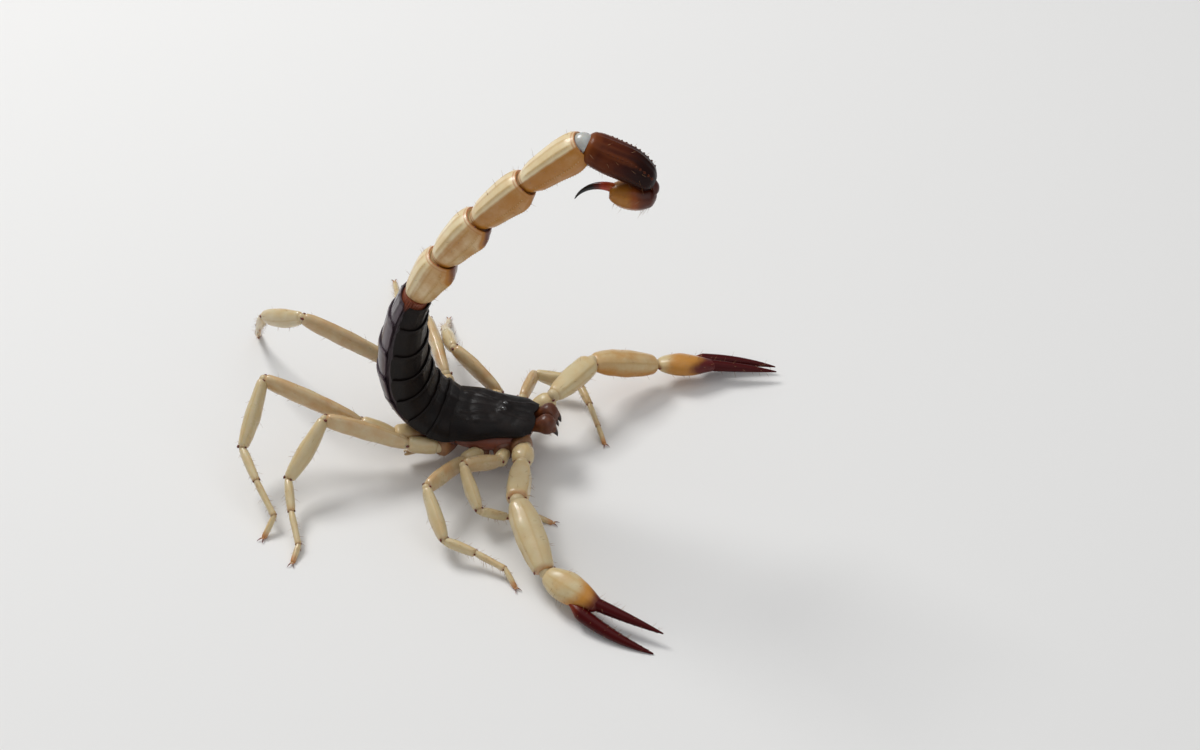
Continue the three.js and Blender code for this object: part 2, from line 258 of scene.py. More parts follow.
def limbSurface(place, shape, start=0.0):
    # start shifts the piece's beginning into its neighbour
    length, cap = shape["length"] - start, shape.get("cap", 0.5)
    wide, deep = shape["wide"], shape["deep"]
    bow = shape.get("bow", (0, 0))
    # each piece has its own faint dents
    phase = shape["length"] * 7.3 + place.translation.x

    def surface(x, angle):
        share = min(max((x + start) / shape["length"], 0), 1)
        size = valueAt(shape["profile"], share) * capShare(x, length, cap)
        dents = 1 + 0.014 * sin(3 * angle + 2.1 * x + phase) + 0.012 * sin(2 * angle - 1.3 * x + phase * 2)
        size *= dents
        fade = smoothStep(0.02, 0.16, share) * smoothStep(1.0, 0.86, share)
        square, keels = shape.get("square", 2.2), shape.get("keels", ())
        y, z, mark = sectionPoint(angle, wide * size, deep * size, deep * size, square, keels, fade)
        swell = sin(pi * share)
        return place @ Vector((x + start, y + bow[0] * swell, z + bow[1] * swell)), mark

    return surface, length, cap


def keelBeads(surface, length, keels, spacing, radius, first=0.1, last=0.92, **tags):
    # granules along each keel, growing towards the far end
    beads = []
    for at, height, spread in keels:
        count = max(int(length * (last - first) / spacing), 2)
        for k in range(count):
            share = first + (last - first) * (k + 0.5) / count
            point = surface(length * share, radians(at))[0]
            size = radius * (0.75 + 0.45 * share) * random.uniform(0.85, 1.15)
            beads.append(beadAt(point, size, ridge=1, **tags))
    return beads


hairs = []


def scatterHairs(surface, length, place, count, size, angles=(0, 360), shares=(0.1, 0.95), lean=0.6):
    # roots are kept for one joined piece, each as (point, direction, length, (along, around))
    for k in range(count):
        share = random.uniform(*shares)
        angle = radians(random.uniform(*angles))
        point = surface(length * share, angle)[0]
        inside = surface(length * share, angle + pi)[0]
        outward = (point - inside).normalized()
        forward = (place.to_3x3() @ Vector((1, 0, 0))).normalized()
        heading = (outward + forward * lean * random.uniform(0.6, 1.4)).normalized()
        reach = size * random.uniform(0.6, 1.3)
        if point.z + heading.z * reach > 0.03:
            hairs.append((point - outward * 0.03, heading, reach, (share, angle / tau)))


def addGroup(name, inputs, outputs):
    group = bpy.data.node_groups.new(name, "ShaderNodeTree")
    for label, kind, value in inputs:
        group.interface.new_socket(name=label, in_out="INPUT", socket_type=kind).default_value = value
    for label, kind in outputs:
        group.interface.new_socket(name=label, in_out="OUTPUT", socket_type=kind)
    return group, group.nodes.new("NodeGroupInput"), group.nodes.new("NodeGroupOutput")


def addNode(tree, kind, settings=None, values=None, links=None):
    node = tree.nodes.new(kind)
    for key, value in (settings or {}).items():
        setattr(node, key, value)
    for key, value in (values or {}).items():
        node.inputs[key].default_value = value
    for key, source in (links or {}).items():
        tree.links.new(source, node.inputs[key])
    return node


def addMath(tree, operation, *values):
    node = addNode(tree, "ShaderNodeMath", {"operation": operation})
    for socket, value in zip(node.inputs, values):
        if isinstance(value, (int, float)):
            socket.default_value = value
        else:
            tree.links.new(value, socket)
    return node.outputs[0]


def addMix(tree, share, a, b):
    # the colour sockets of a Mix node are numbers 6 and 7, and its colour output is number 2
    return addNode(tree, "ShaderNodeMix", {"data_type": "RGBA"}, links={0: share, 6: a, 7: b}).outputs[2]


colour, number = "NodeSocketColor", "NodeSocketFloat"
cuticleColours = ("Base", "Mottle", "Ridge", "Joint", "Warm", "Tip")
cuticleNumbers = {
    "Mottle Scale": 700,
    "Mottle Share": 0.6,
    "Grain Scale": 6000,
    "Grain Depth": 0.5,
    "Dullness": 0.4,
}
fleckScale = 5200


def buildCuticleGroup():
    # colour, dullness and grain of horny shell, led by the ridge, ends and tone marks of each piece
    plain = (0.3, 0.2, 0.1, 1)
    group, source, sink = addGroup(
        "cuticle",
        [(label, colour, plain) for label in cuticleColours]
        + [(label, number, value) for label, value in cuticleNumbers.items()],
        [("Color", colour), ("Roughness", number), ("Height", number)],
    )
    inner = source.outputs
    place = addNode(group, "ShaderNodeTexCoord").outputs["Object"]
    blotch = addNode(group, "ShaderNodeTexNoise", values={"Detail": 4, "Roughness": 0.6},
                     links={"Vector": place, "Scale": inner["Mottle Scale"]}).outputs["Fac"]
    fleck = addNode(group, "ShaderNodeTexNoise", values={"Scale": fleckScale, "Detail": 2},
                    links={"Vector": place}).outputs["Fac"]
    grain = addNode(group, "ShaderNodeTexVoronoi",
                    links={"Vector": place, "Scale": inner["Grain Scale"]}).outputs["Distance"]
    marks = {}
    for name in ("ridge", "ends", "tone"):
        marks[name] = addNode(group, "ShaderNodeAttribute", {"attribute_name": name}).outputs["Fac"]
    patch = addNode(group, "ShaderNodeMapRange", values={"From Min": 0.36, "From Max": 0.68},
                    links={"Value": blotch}).outputs[0]
    patch = addMath(group, "MULTIPLY", patch, inner["Mottle Share"])
    shade = addMix(group, patch, inner["Base"], inner["Mottle"])
    broken = addMath(group, "MULTIPLY_ADD", fleck, 0.9, 0.35)
    ridge = addMath(group, "MULTIPLY", marks["ridge"], broken)
    ridge.node.use_clamp = True
    shade = addMix(group, ridge, shade, inner["Ridge"])
    shade = addMix(group, marks["ends"], shade, inner["Joint"])
    # the tone mark, which carries pigment and on some pieces painted shade, leads from the plain colour to
    # Warm and on to Tip, a little unevenly
    uneven = addMath(group, "MULTIPLY_ADD", blotch, 0.3, -0.15)
    tipShare = addMath(group, "ADD", marks["tone"], uneven)
    for label, low, high in (("Warm", 0.12, 0.5), ("Tip", 0.5, 0.9)):
        share = addNode(group, "ShaderNodeMapRange", {"interpolation_type": "SMOOTHSTEP"},
                        {"From Min": low, "From Max": high}, {"Value": tipShare}).outputs[0]
        shade = addMix(group, share, shade, inner[label])
    rough = addMath(group, "MULTIPLY_ADD", blotch, 0.22, inner["Dullness"])
    height = addMath(group, "MULTIPLY", grain, inner["Grain Depth"])
    height = addMath(group, "ADD", height, addMath(group, "MULTIPLY", fleck, 0.35))
    for name, value in (("Color", shade), ("Roughness", rough), ("Height", height)):
        group.links.new(value, sink.inputs[name])
    return group


cuticle = buildCuticleGroup()
usualFinish = {"bump": 0.35, "gloss": 0.5, "coat": 0.2, "glow": 0}
bumpDepth = 0.00006
coatRoughness = 0.25
glowReach = {"colours": (1.0, 0.6, 0.3), "scale": 0.0006}


def cuticleMaterial(name, look):
    material = bpy.data.materials.new(name)
    material.use_nodes = True
    tree = material.node_tree
    shader = tree.nodes["Principled BSDF"]
    surface = tree.nodes.new("ShaderNodeGroup")
    surface.node_tree = cuticle
    for label in cuticleColours:
        if label in look:
            surface.inputs[label].default_value = (*look[label], 1)
    for label in cuticleNumbers:
        if label in look:
            surface.inputs[label].default_value = look[label]
    finish = {**usualFinish, **look}
    bump = addNode(tree, "ShaderNodeBump", values={"Strength": finish["bump"], "Distance": bumpDepth},
                   links={"Height": surface.outputs["Height"]})
    tree.links.new(surface.outputs["Color"], shader.inputs["Base Color"])
    tree.links.new(surface.outputs["Roughness"], shader.inputs["Roughness"])
    tree.links.new(bump.outputs["Normal"], shader.inputs["Normal"])
    plain = {
        "Specular IOR Level": finish["gloss"],
        "Coat Weight": finish["coat"],
        "Coat Roughness": coatRoughness,
        "Subsurface Weight": finish["glow"],
        "Subsurface Radius": glowReach["colours"],
        "Subsurface Scale": glowReach["scale"],
    }
    for label, value in plain.items():
        shader.inputs[label].default_value = value
    return material


# colours are linear red, green and blue, and a colour is left out where no piece has its mark
looks = {
    "blackShell": {
        "Base": (0.006, 0.0045, 0.004), "Mottle": (0.014, 0.008, 0.006), "Ridge": (0.011, 0.007, 0.006),
        "Warm": (0.05, 0.018, 0.01),
        "Mottle Scale": 600, "Grain Scale": 7200, "Grain Depth": 0.8, "Dullness": 0.3, "bump": 0.42,
        "coat": 0.03, "gloss": 0.15,
    },
    "bellyPlate": {
        "Base": (0.060, 0.040, 0.050), "Mottle": (0.12, 0.085, 0.10), "Ridge": (0.035, 0.02, 0.022),
        "Joint": (0.035, 0.02, 0.02), "Warm": (0.16, 0.07, 0.045),
        "Mottle Scale": 500, "Grain Scale": 3500, "Grain Depth": 0.3, "Dullness": 0.2, "bump": 0.25,
        "coat": 0.35,
    },
    # hips and breastplate: the red-brown is largely painted shade under the body; Tip is the pale straw the
    # hips show at their far ends
    "hipShellInShade": {
        "Base": (0.17, 0.048, 0.020), "Mottle": (0.26, 0.09, 0.038), "Ridge": (0.07, 0.016, 0.008),
        "Joint": (0.05, 0.012, 0.006), "Warm": (0.40, 0.21, 0.08), "Tip": (0.62, 0.46, 0.23),
        "Mottle Scale": 650, "Grain Scale": 4600, "Grain Depth": 0.5, "Dullness": 0.28, "bump": 0.35,
        "gloss": 0.35,
    },
    # Warm on straw also colours the painted shade of the trochanters and femora
    "straw": {
        "Base": (0.61, 0.50, 0.29), "Mottle": (0.57, 0.39, 0.17), "Ridge": (0.56, 0.40, 0.18),
        "Joint": (0.42, 0.20, 0.07), "Warm": (0.47, 0.18, 0.042), "Tip": (0.09, 0.004, 0.003),
        "Mottle Scale": 420, "Mottle Share": 0.6, "Grain Scale": 4600, "Grain Depth": 0.3, "Dullness": 0.2,
        "bump": 0.22, "coat": 0.4, "glow": 0.25,
    },
    "fingerShell": {
        "Base": (0.62, 0.40, 0.16), "Mottle": (0.5, 0.26, 0.08), "Ridge": (0.05, 0.003, 0.003),
        "Warm": (0.22, 0.03, 0.008), "Tip": (0.058, 0.002, 0.002),
        "Mottle Scale": 420, "Grain Scale": 4600, "Grain Depth": 0.3, "Dullness": 0.2, "bump": 0.22,
        "coat": 0.06, "gloss": 0.12,
    },
    # Warm also colours the painted shade on the tail's flanks; Tip is the red-brown towards each ring's far
    # joint, partly pigment and partly painted shade
    "tailShell": {
        "Base": (0.84, 0.71, 0.45), "Mottle": (0.68, 0.46, 0.20), "Ridge": (0.58, 0.38, 0.15),
        "Joint": (0.42, 0.10, 0.022), "Warm": (0.45, 0.175, 0.016), "Tip": (0.12, 0.022, 0.007),
        "Mottle Scale": 380, "Mottle Share": 0.65, "Grain Scale": 4200, "Grain Depth": 0.45,
        "Dullness": 0.22, "bump": 0.3, "coat": 0.28, "glow": 0.1, "gloss": 0.36,
    },
    "darkTail": {
        "Base": (0.045, 0.004, 0.0012), "Mottle": (0.08, 0.011, 0.0025), "Ridge": (0.10, 0.02, 0.004),
        "Joint": (0.009, 0.002, 0.0015), "Warm": (0.13, 0.028, 0.005), "Tip": (0.27, 0.085, 0.018),
        "Mottle Scale": 420, "Grain Scale": 4200, "Grain Depth": 0.4, "Dullness": 0.22, "bump": 0.3,
        "coat": 0.05, "gloss": 0.11,
    },
    "amberShell": {
        "Base": (0.43, 0.175, 0.025), "Mottle": (0.31, 0.10, 0.014), "Ridge": (0.24, 0.07, 0.01),
        "Joint": (0.04, 0.006, 0.003), "Warm": (0.27, 0.065, 0.012), "Tip": (0.06, 0.009, 0.003),
        "Mottle Scale": 420, "Grain Scale": 4200, "Grain Depth": 0.3, "Dullness": 0.2, "bump": 0.22,
        "coat": 0.2, "glow": 0.12, "gloss": 0.22,
    },
    "stingShell": {
        "Base": (0.42, 0.045, 0.010), "Mottle": (0.3, 0.025, 0.006), "Joint": (0.5, 0.11, 0.018),
        "Warm": (0.10, 0.010, 0.004), "Tip": (0.005, 0.003, 0.003),
        "Mottle Scale": 900, "Grain Scale": 5000, "Grain Depth": 0.1, "Dullness": 0.12, "bump": 0.1,
        "coat": 0.3, "gloss": 0.35,
    },
    "jawShell": {
        "Base": (0.13, 0.036, 0.011), "Mottle": (0.06, 0.014, 0.005), "Ridge": (0.07, 0.018, 0.006),
        "Warm": (0.10, 0.026, 0.01), "Tip": (0.018, 0.005, 0.003),
        "Mottle Scale": 900, "Mottle Share": 0.9, "Grain Scale": 3800, "Grain Depth": 0.6, "Dullness": 0.24,
        "bump": 0.4, "coat": 0.15, "gloss": 0.3,
    },
    "softSkin": {
        "Base": (0.034, 0.022, 0.026), "Mottle": (0.07, 0.045, 0.052), "Ridge": (0.018, 0.011, 0.012),
        "Warm": (0.20, 0.048, 0.020), "Tip": (0.56, 0.44, 0.25),
        "Mottle Scale": 1300, "Grain Scale": 6000, "Grain Depth": 0.8, "Dullness": 0.3, "bump": 0.5,
        "coat": 0.15, "gloss": 0.35,
    },
    # pale membrane painted bluish white, a painted highlight over its own pale colour
    "paleMembraneSheen": {
        "Base": (0.5, 0.52, 0.5), "Mottle": (0.42, 0.38, 0.30), "Warm": (0.5, 0.4, 0.3),
        "Mottle Scale": 1300, "Grain Scale": 6000, "Grain Depth": 0.5, "Dullness": 0.12, "bump": 0.3,
        "coat": 0.6, "glow": 0.2,
    },
    "comb": {
        "Base": (0.60, 0.43, 0.24), "Mottle": (0.50, 0.32, 0.15), "Ridge": (0.45, 0.27, 0.12),
        "Warm": (0.65, 0.5, 0.3), "Tip": (0.72, 0.60, 0.42),
        "Mottle Scale": 900, "Grain Scale": 5000, "Grain Depth": 0.3, "Dullness": 0.3, "bump": 0.25,
        "glow": 0.15,
    },
    "condyle": {
        "Base": (0.17, 0.026, 0.010), "Mottle": (0.07, 0.010, 0.005), "Warm": (0.2, 0.05, 0.02),
        "Mottle Scale": 1500, "Grain Scale": 5000, "Grain Depth": 0.1, "Dullness": 0.12, "bump": 0.1,
        "coat": 0.4,
    },
    "eyeLens": {
        "Base": (0.004, 0.003, 0.003), "Mottle": (0.012, 0.008, 0.006), "Warm": (0.02, 0.01, 0.006),
        "Mottle Scale": 1800, "Grain Scale": 2000, "Grain Depth": 0.0, "Dullness": 0.02, "bump": 0.02,
        "coat": 1.0,
    },
    "bristle": {
        "Base": (0.38, 0.20, 0.08), "Mottle": (0.22, 0.10, 0.04), "Warm": (0.3, 0.15, 0.06),
        "Mottle Scale": 1500, "Grain Scale": 3000, "Grain Depth": 0.0, "Dullness": 0.35, "bump": 0.02,
    },
}
# handShell's Warm also colours the far pedipalp's painted shade
looks["handShell"] = dict(looks["straw"], Warm=(0.50, 0.22, 0.038), coat=0.15, gloss=0.25, glow=0.08)
materials = {name: cuticleMaterial(name, look) for name, look in looks.items()}
print("Materials made:", len(materials))


carapace = {
    "outline": [(0, 0.97), (0.28, 0.9), (0.42, 0.66), (0.55, 0.5), (0.8, 0.33), (0.93, 0.1), (1, -0.2)],
    "square": 2.5,
    "edgeAngle": 108,
    "shell": 0.28,
    "columns": 78,
    "rows": 96,
    "notch": 0.45,
    "furrow": 0.14,
    "narrow": 0.94,
    "rim": 0.14,
    "base": [(0, 5.9), (0.3, 6.1), (0.6, 6.4), (1, 6.5)],
    "roof": [(0, 8.4), (0.3, 8.3), (0.45, 8.1), (0.6, 7.85), (0.9, 7.5), (1, 7.35)],
    "mound": {"x": 4.9, "lift": 0.42, "long": 1.5, "wide": 1.0},
    "granules": 4800,
}


def carapacePoint(x, angle):
    # angle runs from the right rim, below zero, over the top to the left rim
    length = prosoma["front"] - prosoma["rear"]
    share = (x - prosoma["rear"]) / length
    wider = (prosoma["rearWide"] - prosoma["frontWide"]) * valueAt(carapace["outline"], share)
    wide = prosoma["frontWide"] + wider
    base = valueAt(carapace["base"], share)
    top = valueAt(carapace["roof"], share) - base
    bent = min(max(angle, -90), 90)
    c, s = cos(radians(bent)), sin(radians(bent))
    reach = (c ** carapace["square"] + abs(s) ** carapace["square"]) ** (-1 / carapace["square"])
    outward = 1 if angle > 0 else -1
    y, z = reach * s * wide * carapace["narrow"], reach * c * top
    # past 90 degrees the shield turns down into its rim
    rim = (abs(angle) - abs(bent)) / (carapace["edgeAngle"] - 90)
    y -= rim * 0.1 * outward
    z -= rim * carapace["rim"]
    inward = hypot(y, 0.01)
    # the midline furrow, the cross furrows and the paired furrows beside them
    flat = max(c, 0)
    mound = carapace["mound"]
    dip = carapace["furrow"] * hump(y, 0, 0.3) * (1 - hump(x, mound["x"], 1.3)) * smoothStep(8.9, 8.0, x)
    dip += 0.13 * hump(x - 0.1 * inward * inward, 0.4, 0.55) * smoothStep(4.4, 3.2, inward)
    dip += 0.10 * hump(x - 0.35 * inward, 2.5, 0.5) * smoothStep(0.6, 1.6, inward) * flat
    dip += 0.08 * hump(x + 0.5 * inward, 7.6, 0.5) * smoothStep(0.5, 1.2, inward) * flat
    lift = mound["lift"] * hump(x, mound["x"], mound["long"] / 2) * hump(y, 0, mound["wide"])
    # keels: a lyre over the rear half, a pair by the eyes and a pair to the front corners
    lyre = hump(inward, 1.55 + 0.35 * sin((x + 1.5) * 0.9), 0.2)
    brows = hump(inward, 0.95 + 0.2 * (x - mound["x"]), 0.17)
    corners = hump(inward, 3.05 - 0.16 * (x - 1), 0.22)
    keel = max(
        lyre * smoothStep(-0.9, -0.3, x) * smoothStep(3.9, 3.0, x),
        brows * smoothStep(3.9, 4.6, x) * smoothStep(8.8, 8.0, x),
        corners * smoothStep(0.2, 1.0, x) * smoothStep(5.2, 4.2, x),
    )
    lip = hump(abs(angle), 86, 4.5)
    z += (lift + 0.17 * keel - dip) * flat
    y += 0.08 * lip * outward
    front = smoothStep(7.4, prosoma["front"], x)
    # the front edge is notched in the middle and drawn back at its corners and rim
    notch = carapace["notch"] * hump(y, 0, 0.7)
    x -= front * (notch + 0.02 * y * y + 0.75 * smoothStep(1.6, 3.1, inward) ** 2)
    x -= front * 0.7 * rim
    return Vector((x, y, base + z)), max(keel, 0.8 * lip)


def buildCarapace():
    bm = newMesh()

    def surface(u, w):
        x = prosoma["rear"] + u * (prosoma["front"] - prosoma["rear"])
        return carapacePoint(x, carapace["edgeAngle"] - 2 * carapace["edgeAngle"] * w)

    addSheet(bm, carapace["columns"], carapace["rows"], surface, carapace["shell"])
    beads = []
    # granules are tried all over, and more of them stay where there is a keel
    for k in range(carapace["granules"]):
        x, angle = random.uniform(-1.1, 8.8), random.uniform(-88, 88)
        point, mark = carapacePoint(x, angle)
        if random.random() < 0.14 + mark:
            size = 0.04 + 0.055 * mark * random.uniform(0.6, 1)
            beads.append(beadAt(point, size, ridge=0.5 + 0.5 * mark))
    joinSmall(bm, beads, makeBead)
    finishPiece(bm, "carapace_shield", "blackShell", ["carapace"])


eyes = {"x": 4.9, "apart": 0.95, "radius": 0.42}
sideEyes = [(8.0, 74, 0.13), (8.35, 70, 0.12), (8.6, 65, 0.1)]


def buildEyes():
    for name, side in sides.items():
        bm = newMesh()
        middle = carapacePoint(eyes["x"], 0)[0] + Vector((0, side * (eyes["apart"] / 2 + 0.04), -0.08))
        bmesh.ops.create_uvsphere(bm, u_segments=28, v_segments=18, radius=eyes["radius"],
                                  matrix=Matrix.Translation(middle))
        for x, angle, radius in sideEyes:
            point = carapacePoint(x, side * angle)[0]
            bmesh.ops.create_uvsphere(bm, u_segments=16, v_segments=10, radius=radius,
                                      matrix=Matrix.Translation(point))
        finishPiece(bm, "eyes_" + name, "eyeLens", ["eye_" + name])


buildCarapace()
buildEyes()
print("Carapace and eyes made")


spineStart = {"x": -1.5, "z": 5.7}
backRings = [
    {"length": 2.8, "heading": 157},
    {"length": 2.9, "heading": 139},
    {"length": 3.2, "heading": 115},
    {"length": 3.3, "heading": 98},
    {"length": 3.5, "heading": 86},
    {"length": 3.9, "heading": 79},
    {"length": 3.6, "heading": 69},
]
back = {
    "wide": [(0, 4.75), (0.5, 4.95), (1.5, 5.05), (2.5, 5.05), (3.5, 4.95), (4.5, 4.65), (5.5, 4.0),
             (6.2, 3.4), (6.7, 2.9), (7.1, 2.4)],
    "top": [(0, 2.9), (0.5, 3.0), (1.5, 3.1), (3.5, 3.1), (4.5, 3.0), (5.5, 2.65), (6.3, 2.2), (6.8, 1.95),
            (7.1, 1.75)],
    "bottom": [(0, 2.7), (0.5, 2.9), (1.5, 3.0), (2.5, 3.1), (3.5, 3.1), (4.5, 3.0), (5.5, 2.65), (6.3, 2.15),
               (6.8, 1.85), (7.1, 1.65)],
    "square": 2.3,
    "skinShare": 0.92,
    "plate": 0.2,
}
backJoints = [Vector((spineStart["x"], 0, spineStart["z"]))]
for ring in backRings:
    backJoints.append(backJoints[-1] + direction(0, ring["heading"]) * ring["length"])


def backFrame(s):
    # s counts the joints from the carapace, 0, to the tail, 7
    points = [backJoints[0] + Vector((2.6, 0, 0))] + backJoints
    points.append(backJoints[-1] + direction(0, 60) * 3.4)
    k = min(max(int(s), 0), len(backRings) - 1)
    u = s - k
    a, b, c, d = points[k:k + 4]
    # a smooth curve through the joints, and its slope
    square, cube = 2 * a - 5 * b + 4 * c - d, 3 * b - a - 3 * c + d
    spot = 0.5 * (2 * b + (c - a) * u + square * u * u + cube * u ** 3)
    run = 0.5 * ((c - a) + 2 * square * u + 3 * cube * u * u)
    run.normalize()
    turn = Matrix((run, Vector((0, -1, 0)), Vector((run.z, 0, -run.x)))).transposed().to_4x4()
    return Matrix.Translation(spot) @ turn


def backPoint(s, angle, share=1.0, lift=0.0):
    # angle 90 is the middle of the back and 270 the middle of the belly
    c, sn = cos(angle), sin(angle)
    reach = (abs(c) ** back["square"] + abs(sn) ** back["square"]) ** (-1 / back["square"])
    y = reach * c * valueAt(back["wide"], s) * share
    z = reach * sn * valueAt(back["top"] if sn > 0 else back["bottom"], s) * share
    size = 1 + lift / max(hypot(y, z), 0.1)
    return backFrame(s) @ Vector((0, y * size, z * size))


tergite = {
    "rows": 18,
    "columns": 72,
    "edgeAngle": -12,
    "tuck": 0.16,
    "overlap": 0.1,
    "end": 6.94,
    "rise": 0.16,
    "granules": 70,
    "keels": [(90, 0.10, 4.5), (62, 0.09, 4.5), (118, 0.09, 4.5)],
    "lastKeels": [(90, 0.08, 5), (58, 0.12, 5), (122, 0.12, 5), (30, 0.11, 5), (150, 0.11, 5)],
}


def plateSurface(n, low, high, keels):
    # a plate over ring n whose rear edge stands over the front of the next one
    first, last = n - tergite["tuck"], min(n + 1 + tergite["overlap"], tergite["end"])

    def surface(u, w):
        corner = 8 * hump(u, 0, 0.18) + 5 * hump(u, 1, 0.1)
        angle = radians(low + corner + (high - low - 2 * corner) * w)
        s = first + (last - first) * u
        fade = smoothStep(0.3, 0.5, u) * smoothStep(1.0, 0.96, u)
        keel = max((angleHump(angle, at, spread) * height for at, height, spread in keels), default=0) * fade
        edge = 0.07 * hump(u, 0.93, 0.05)
        lift = -0.32 + tergite["rise"] * 2 * u ** 1.3 + keel + edge
        return backPoint(s, angle, lift=lift), min(keel * 9, 1) + 0.5 * hump(u, 0.95, 0.04)

    return surface


def buildBackPlates():
    for n in range(len(backRings)):
        keels = tergite["lastKeels"] if n == 6 else tergite["keels"]
        bm = newMesh()
        low = tergite["edgeAngle"]
        surface = plateSurface(n, low, 180 - low, keels)
        addSheet(bm, tergite["rows"], tergite["columns"], surface, back["plate"])
        beads = []
        for at, height, spread in keels:
            for u in evenly(0.42, 0.95, 8):
                w = (at - low) / (180 - 2 * low)
                size = random.uniform(0.07, 0.1) * (0.7 + 0.4 * u)
                beads.append(beadAt(surface(u, w)[0], size, ridge=1))
        for k in range(tergite["granules"]):
            u, w = random.uniform(0.35, 0.93), random.uniform(0.04, 0.96)
            beads.append(beadAt(surface(u, w)[0], random.uniform(0.035, 0.06), ridge=0.5))
        for w in evenly(0.05, 0.95, 60 if n < 6 else 40):
            beads.append(beadAt(surface(0.955, w)[0], random.uniform(0.045, 0.06), ridge=0.8))
        joinSmall(bm, beads, makeBead)
        finishPiece(bm, f"tergite_{n + 1}", "blackShell", [f"mesosoma_{n + 1}"])


sternite = {
    "first": 2,
    "edge": 206,
    "rows": 16,
    "columns": 56,
    "lastKeels": [(252, 0.08, 4), (288, 0.08, 4), (226, 0.08, 4), (314, 0.08, 4)],
    "slit": {"angle": 38, "size": (0.62, 0.16, 0.1), "share": 0.5, "turn": 24},
}


def buildBellyPlates():
    for n in range(sternite["first"], len(backRings)):
        bm = newMesh()
        keels = sternite["lastKeels"] if n == 6 else []
        surface = plateSurface(n, sternite["edge"], 540 - sternite["edge"], keels)
        addSheet(bm, sternite["rows"], sternite["columns"], surface, back["plate"])
        if n < 6:
            slit = sternite["slit"]
            for side in sides.values():
                w = 0.5 + side * slit["angle"] / (540 - 2 * sternite["edge"])
                middle = surface(slit["share"], w)[0]
                across = (surface(slit["share"], w + 0.02)[0] - middle).normalized()
                along = (surface(slit["share"] + 0.02, w)[0] - middle).normalized()
                turn = Matrix((across, along, across.cross(along))).transposed().to_4x4()
                slant = Matrix.Rotation(radians(side * slit["turn"]), 4, "Z")
                place = Matrix.Translation(middle) @ turn @ slant
                addBall(bm, place, slit["size"], segments=20, rings=8, ends=1)
        finishPiece(bm, f"sternite_{n + 1}", "bellyPlate")


buildBackPlates()
buildBellyPlates()
print("Back and belly plates made")


# flank sets the painted shade on each ring's flanks; dark sets how far its back darkens towards the far
# joint, partly pigment and partly painted shade
tailRings = [
    {"length": 7.2, "heading": 60, "wide": 2.55, "top": 2.5, "bottom": 2.25, "flank": 0.31, "dark": 0.8},
    {"length": 7.9, "heading": 52, "wide": 2.45, "top": 2.45, "bottom": 2.25, "flank": 0.34, "dark": 0.86},
    {"length": 8.4, "heading": 45, "wide": 2.3, "top": 2.2, "bottom": 2.1, "flank": 0.42, "dark": 0.62},
    {"length": 9.2, "heading": 41, "wide": 2.2, "top": 2.1, "bottom": 2.1, "flank": 0.47, "dark": 0.5},
    {"length": 9.8, "heading": -25, "wide": 2.05, "top": 1.85, "bottom": 1.95},
]
tail = {
    "profile": [(0, 0.64), (0.06, 0.72), (0.2, 0.86), (0.42, 0.96), (0.7, 1.03), (0.87, 0.98), (0.96, 0.86),
                (1, 0.77)],
    "lastProfile": [(0, 0.8), (0.08, 0.94), (0.3, 1.04), (0.52, 1.02), (0.74, 0.93), (0.9, 0.8), (1, 0.64)],
    "square": 2.3,
    "sides": 72,
    "steps": 56,
    "furrow": 0.2,
    "swell": {"share": 0.78, "spread": 0.2, "height": 0.15},
    "bend": {"share": 0.55, "drop": 1.5},
    "keels": [(57, 0.11, 5), (123, 0.11, 5), (18, 0.07, 4), (162, 0.07, 4), (-14, 0.04, 4), (194, 0.04, 4),
              (-44, 0.08, 4.5), (224, 0.08, 4.5), (-73, 0.05, 4), (253, 0.05, 4)],
    "lastKeels": [(55, 0.07, 7), (125, 0.07, 7), (-38, 0.18, 5), (218, 0.18, 5), (-90, 0.1, 5),
                  (-64, 0.05, 5), (244, 0.05, 5), (10, 0.07, 7), (170, 0.07, 7)],
    "beads": 0.36,
    "lobes": {"angles": (-38, 218), "first": 0.3, "last": 0.93, "count": 11},
    "hairs": 20,
    "lastHairs": 30,
}
tailJoints = [backJoints[-1].copy()]
for ring in tailRings:
    tailJoints.append(tailJoints[-1] + direction(0, ring["heading"]) * ring["length"])


def tailSurface(n):
    ring = tailRings[n]
    isLast = n == 4
    place = spineFrame(tailJoints[n].x, tailJoints[n].z, ring["heading"])
    keels = tail["lastKeels"] if isLast else tail["keels"]
    if n in (2, 3):
        # the third and fourth rings have no keel along the middle of the flank
        keels = keels[:4] + keels[6:]
    profile = tail["lastProfile"] if isLast else tail["profile"]
    length = ring["length"] - (0.3 if isLast else 0.05)
    swell, bend = tail["swell"], tail["bend"]

    def surface(x, angle):
        share = min(max(x / length, 0), 1)
        size = valueAt(profile, share)
        if isLast:
            size *= sqrt(max(1 - (1 - min(max(x + 0.1, 0) / 1.1, 1)) ** 2, 0.02))
            size *= sqrt(1 - 0.55 * (1 - min((length - min(x, length)) / 0.8, 1)) ** 2)
        elif x < 0:
            size *= 0.96 - 0.12 * smoothStep(0, -0.6, x)
        inner = max(x - length, 0)
        if inner:
            # beyond the rim the surface turns back into the hollow for the next ring
            size *= 0.97 - 0.16 * smoothStep(0, 0.3, inner)
            x = length - inner * 0.9 + 0.06
        fade = smoothStep(0.05, 0.2, share) * smoothStep(1.0, 0.88, share)
        wide, top, bottom = (ring[key] * size for key in ("wide", "top", "bottom"))
        y, z, mark = sectionPoint(angle, wide, top, bottom, tail["square"], keels, fade)
        if isLast:
            # the last ring curves down at its end, towards the sting
            z += bend["drop"] * max(share - bend["share"], 0) ** 2 / (1 - bend["share"])
            z -= 0.14 * hump(share, 0.66, 0.25) * max(-sin(angle), 0) * ring["bottom"]
        else:
            z *= 1 + swell["height"] * hump(share, swell["share"], swell["spread"]) * max(sin(angle), 0)
        z -= tail["furrow"] * angleHump(angle, 90, 18) * fade
        return place @ Vector((x, y, z)), mark

    return surface, length, place, keels


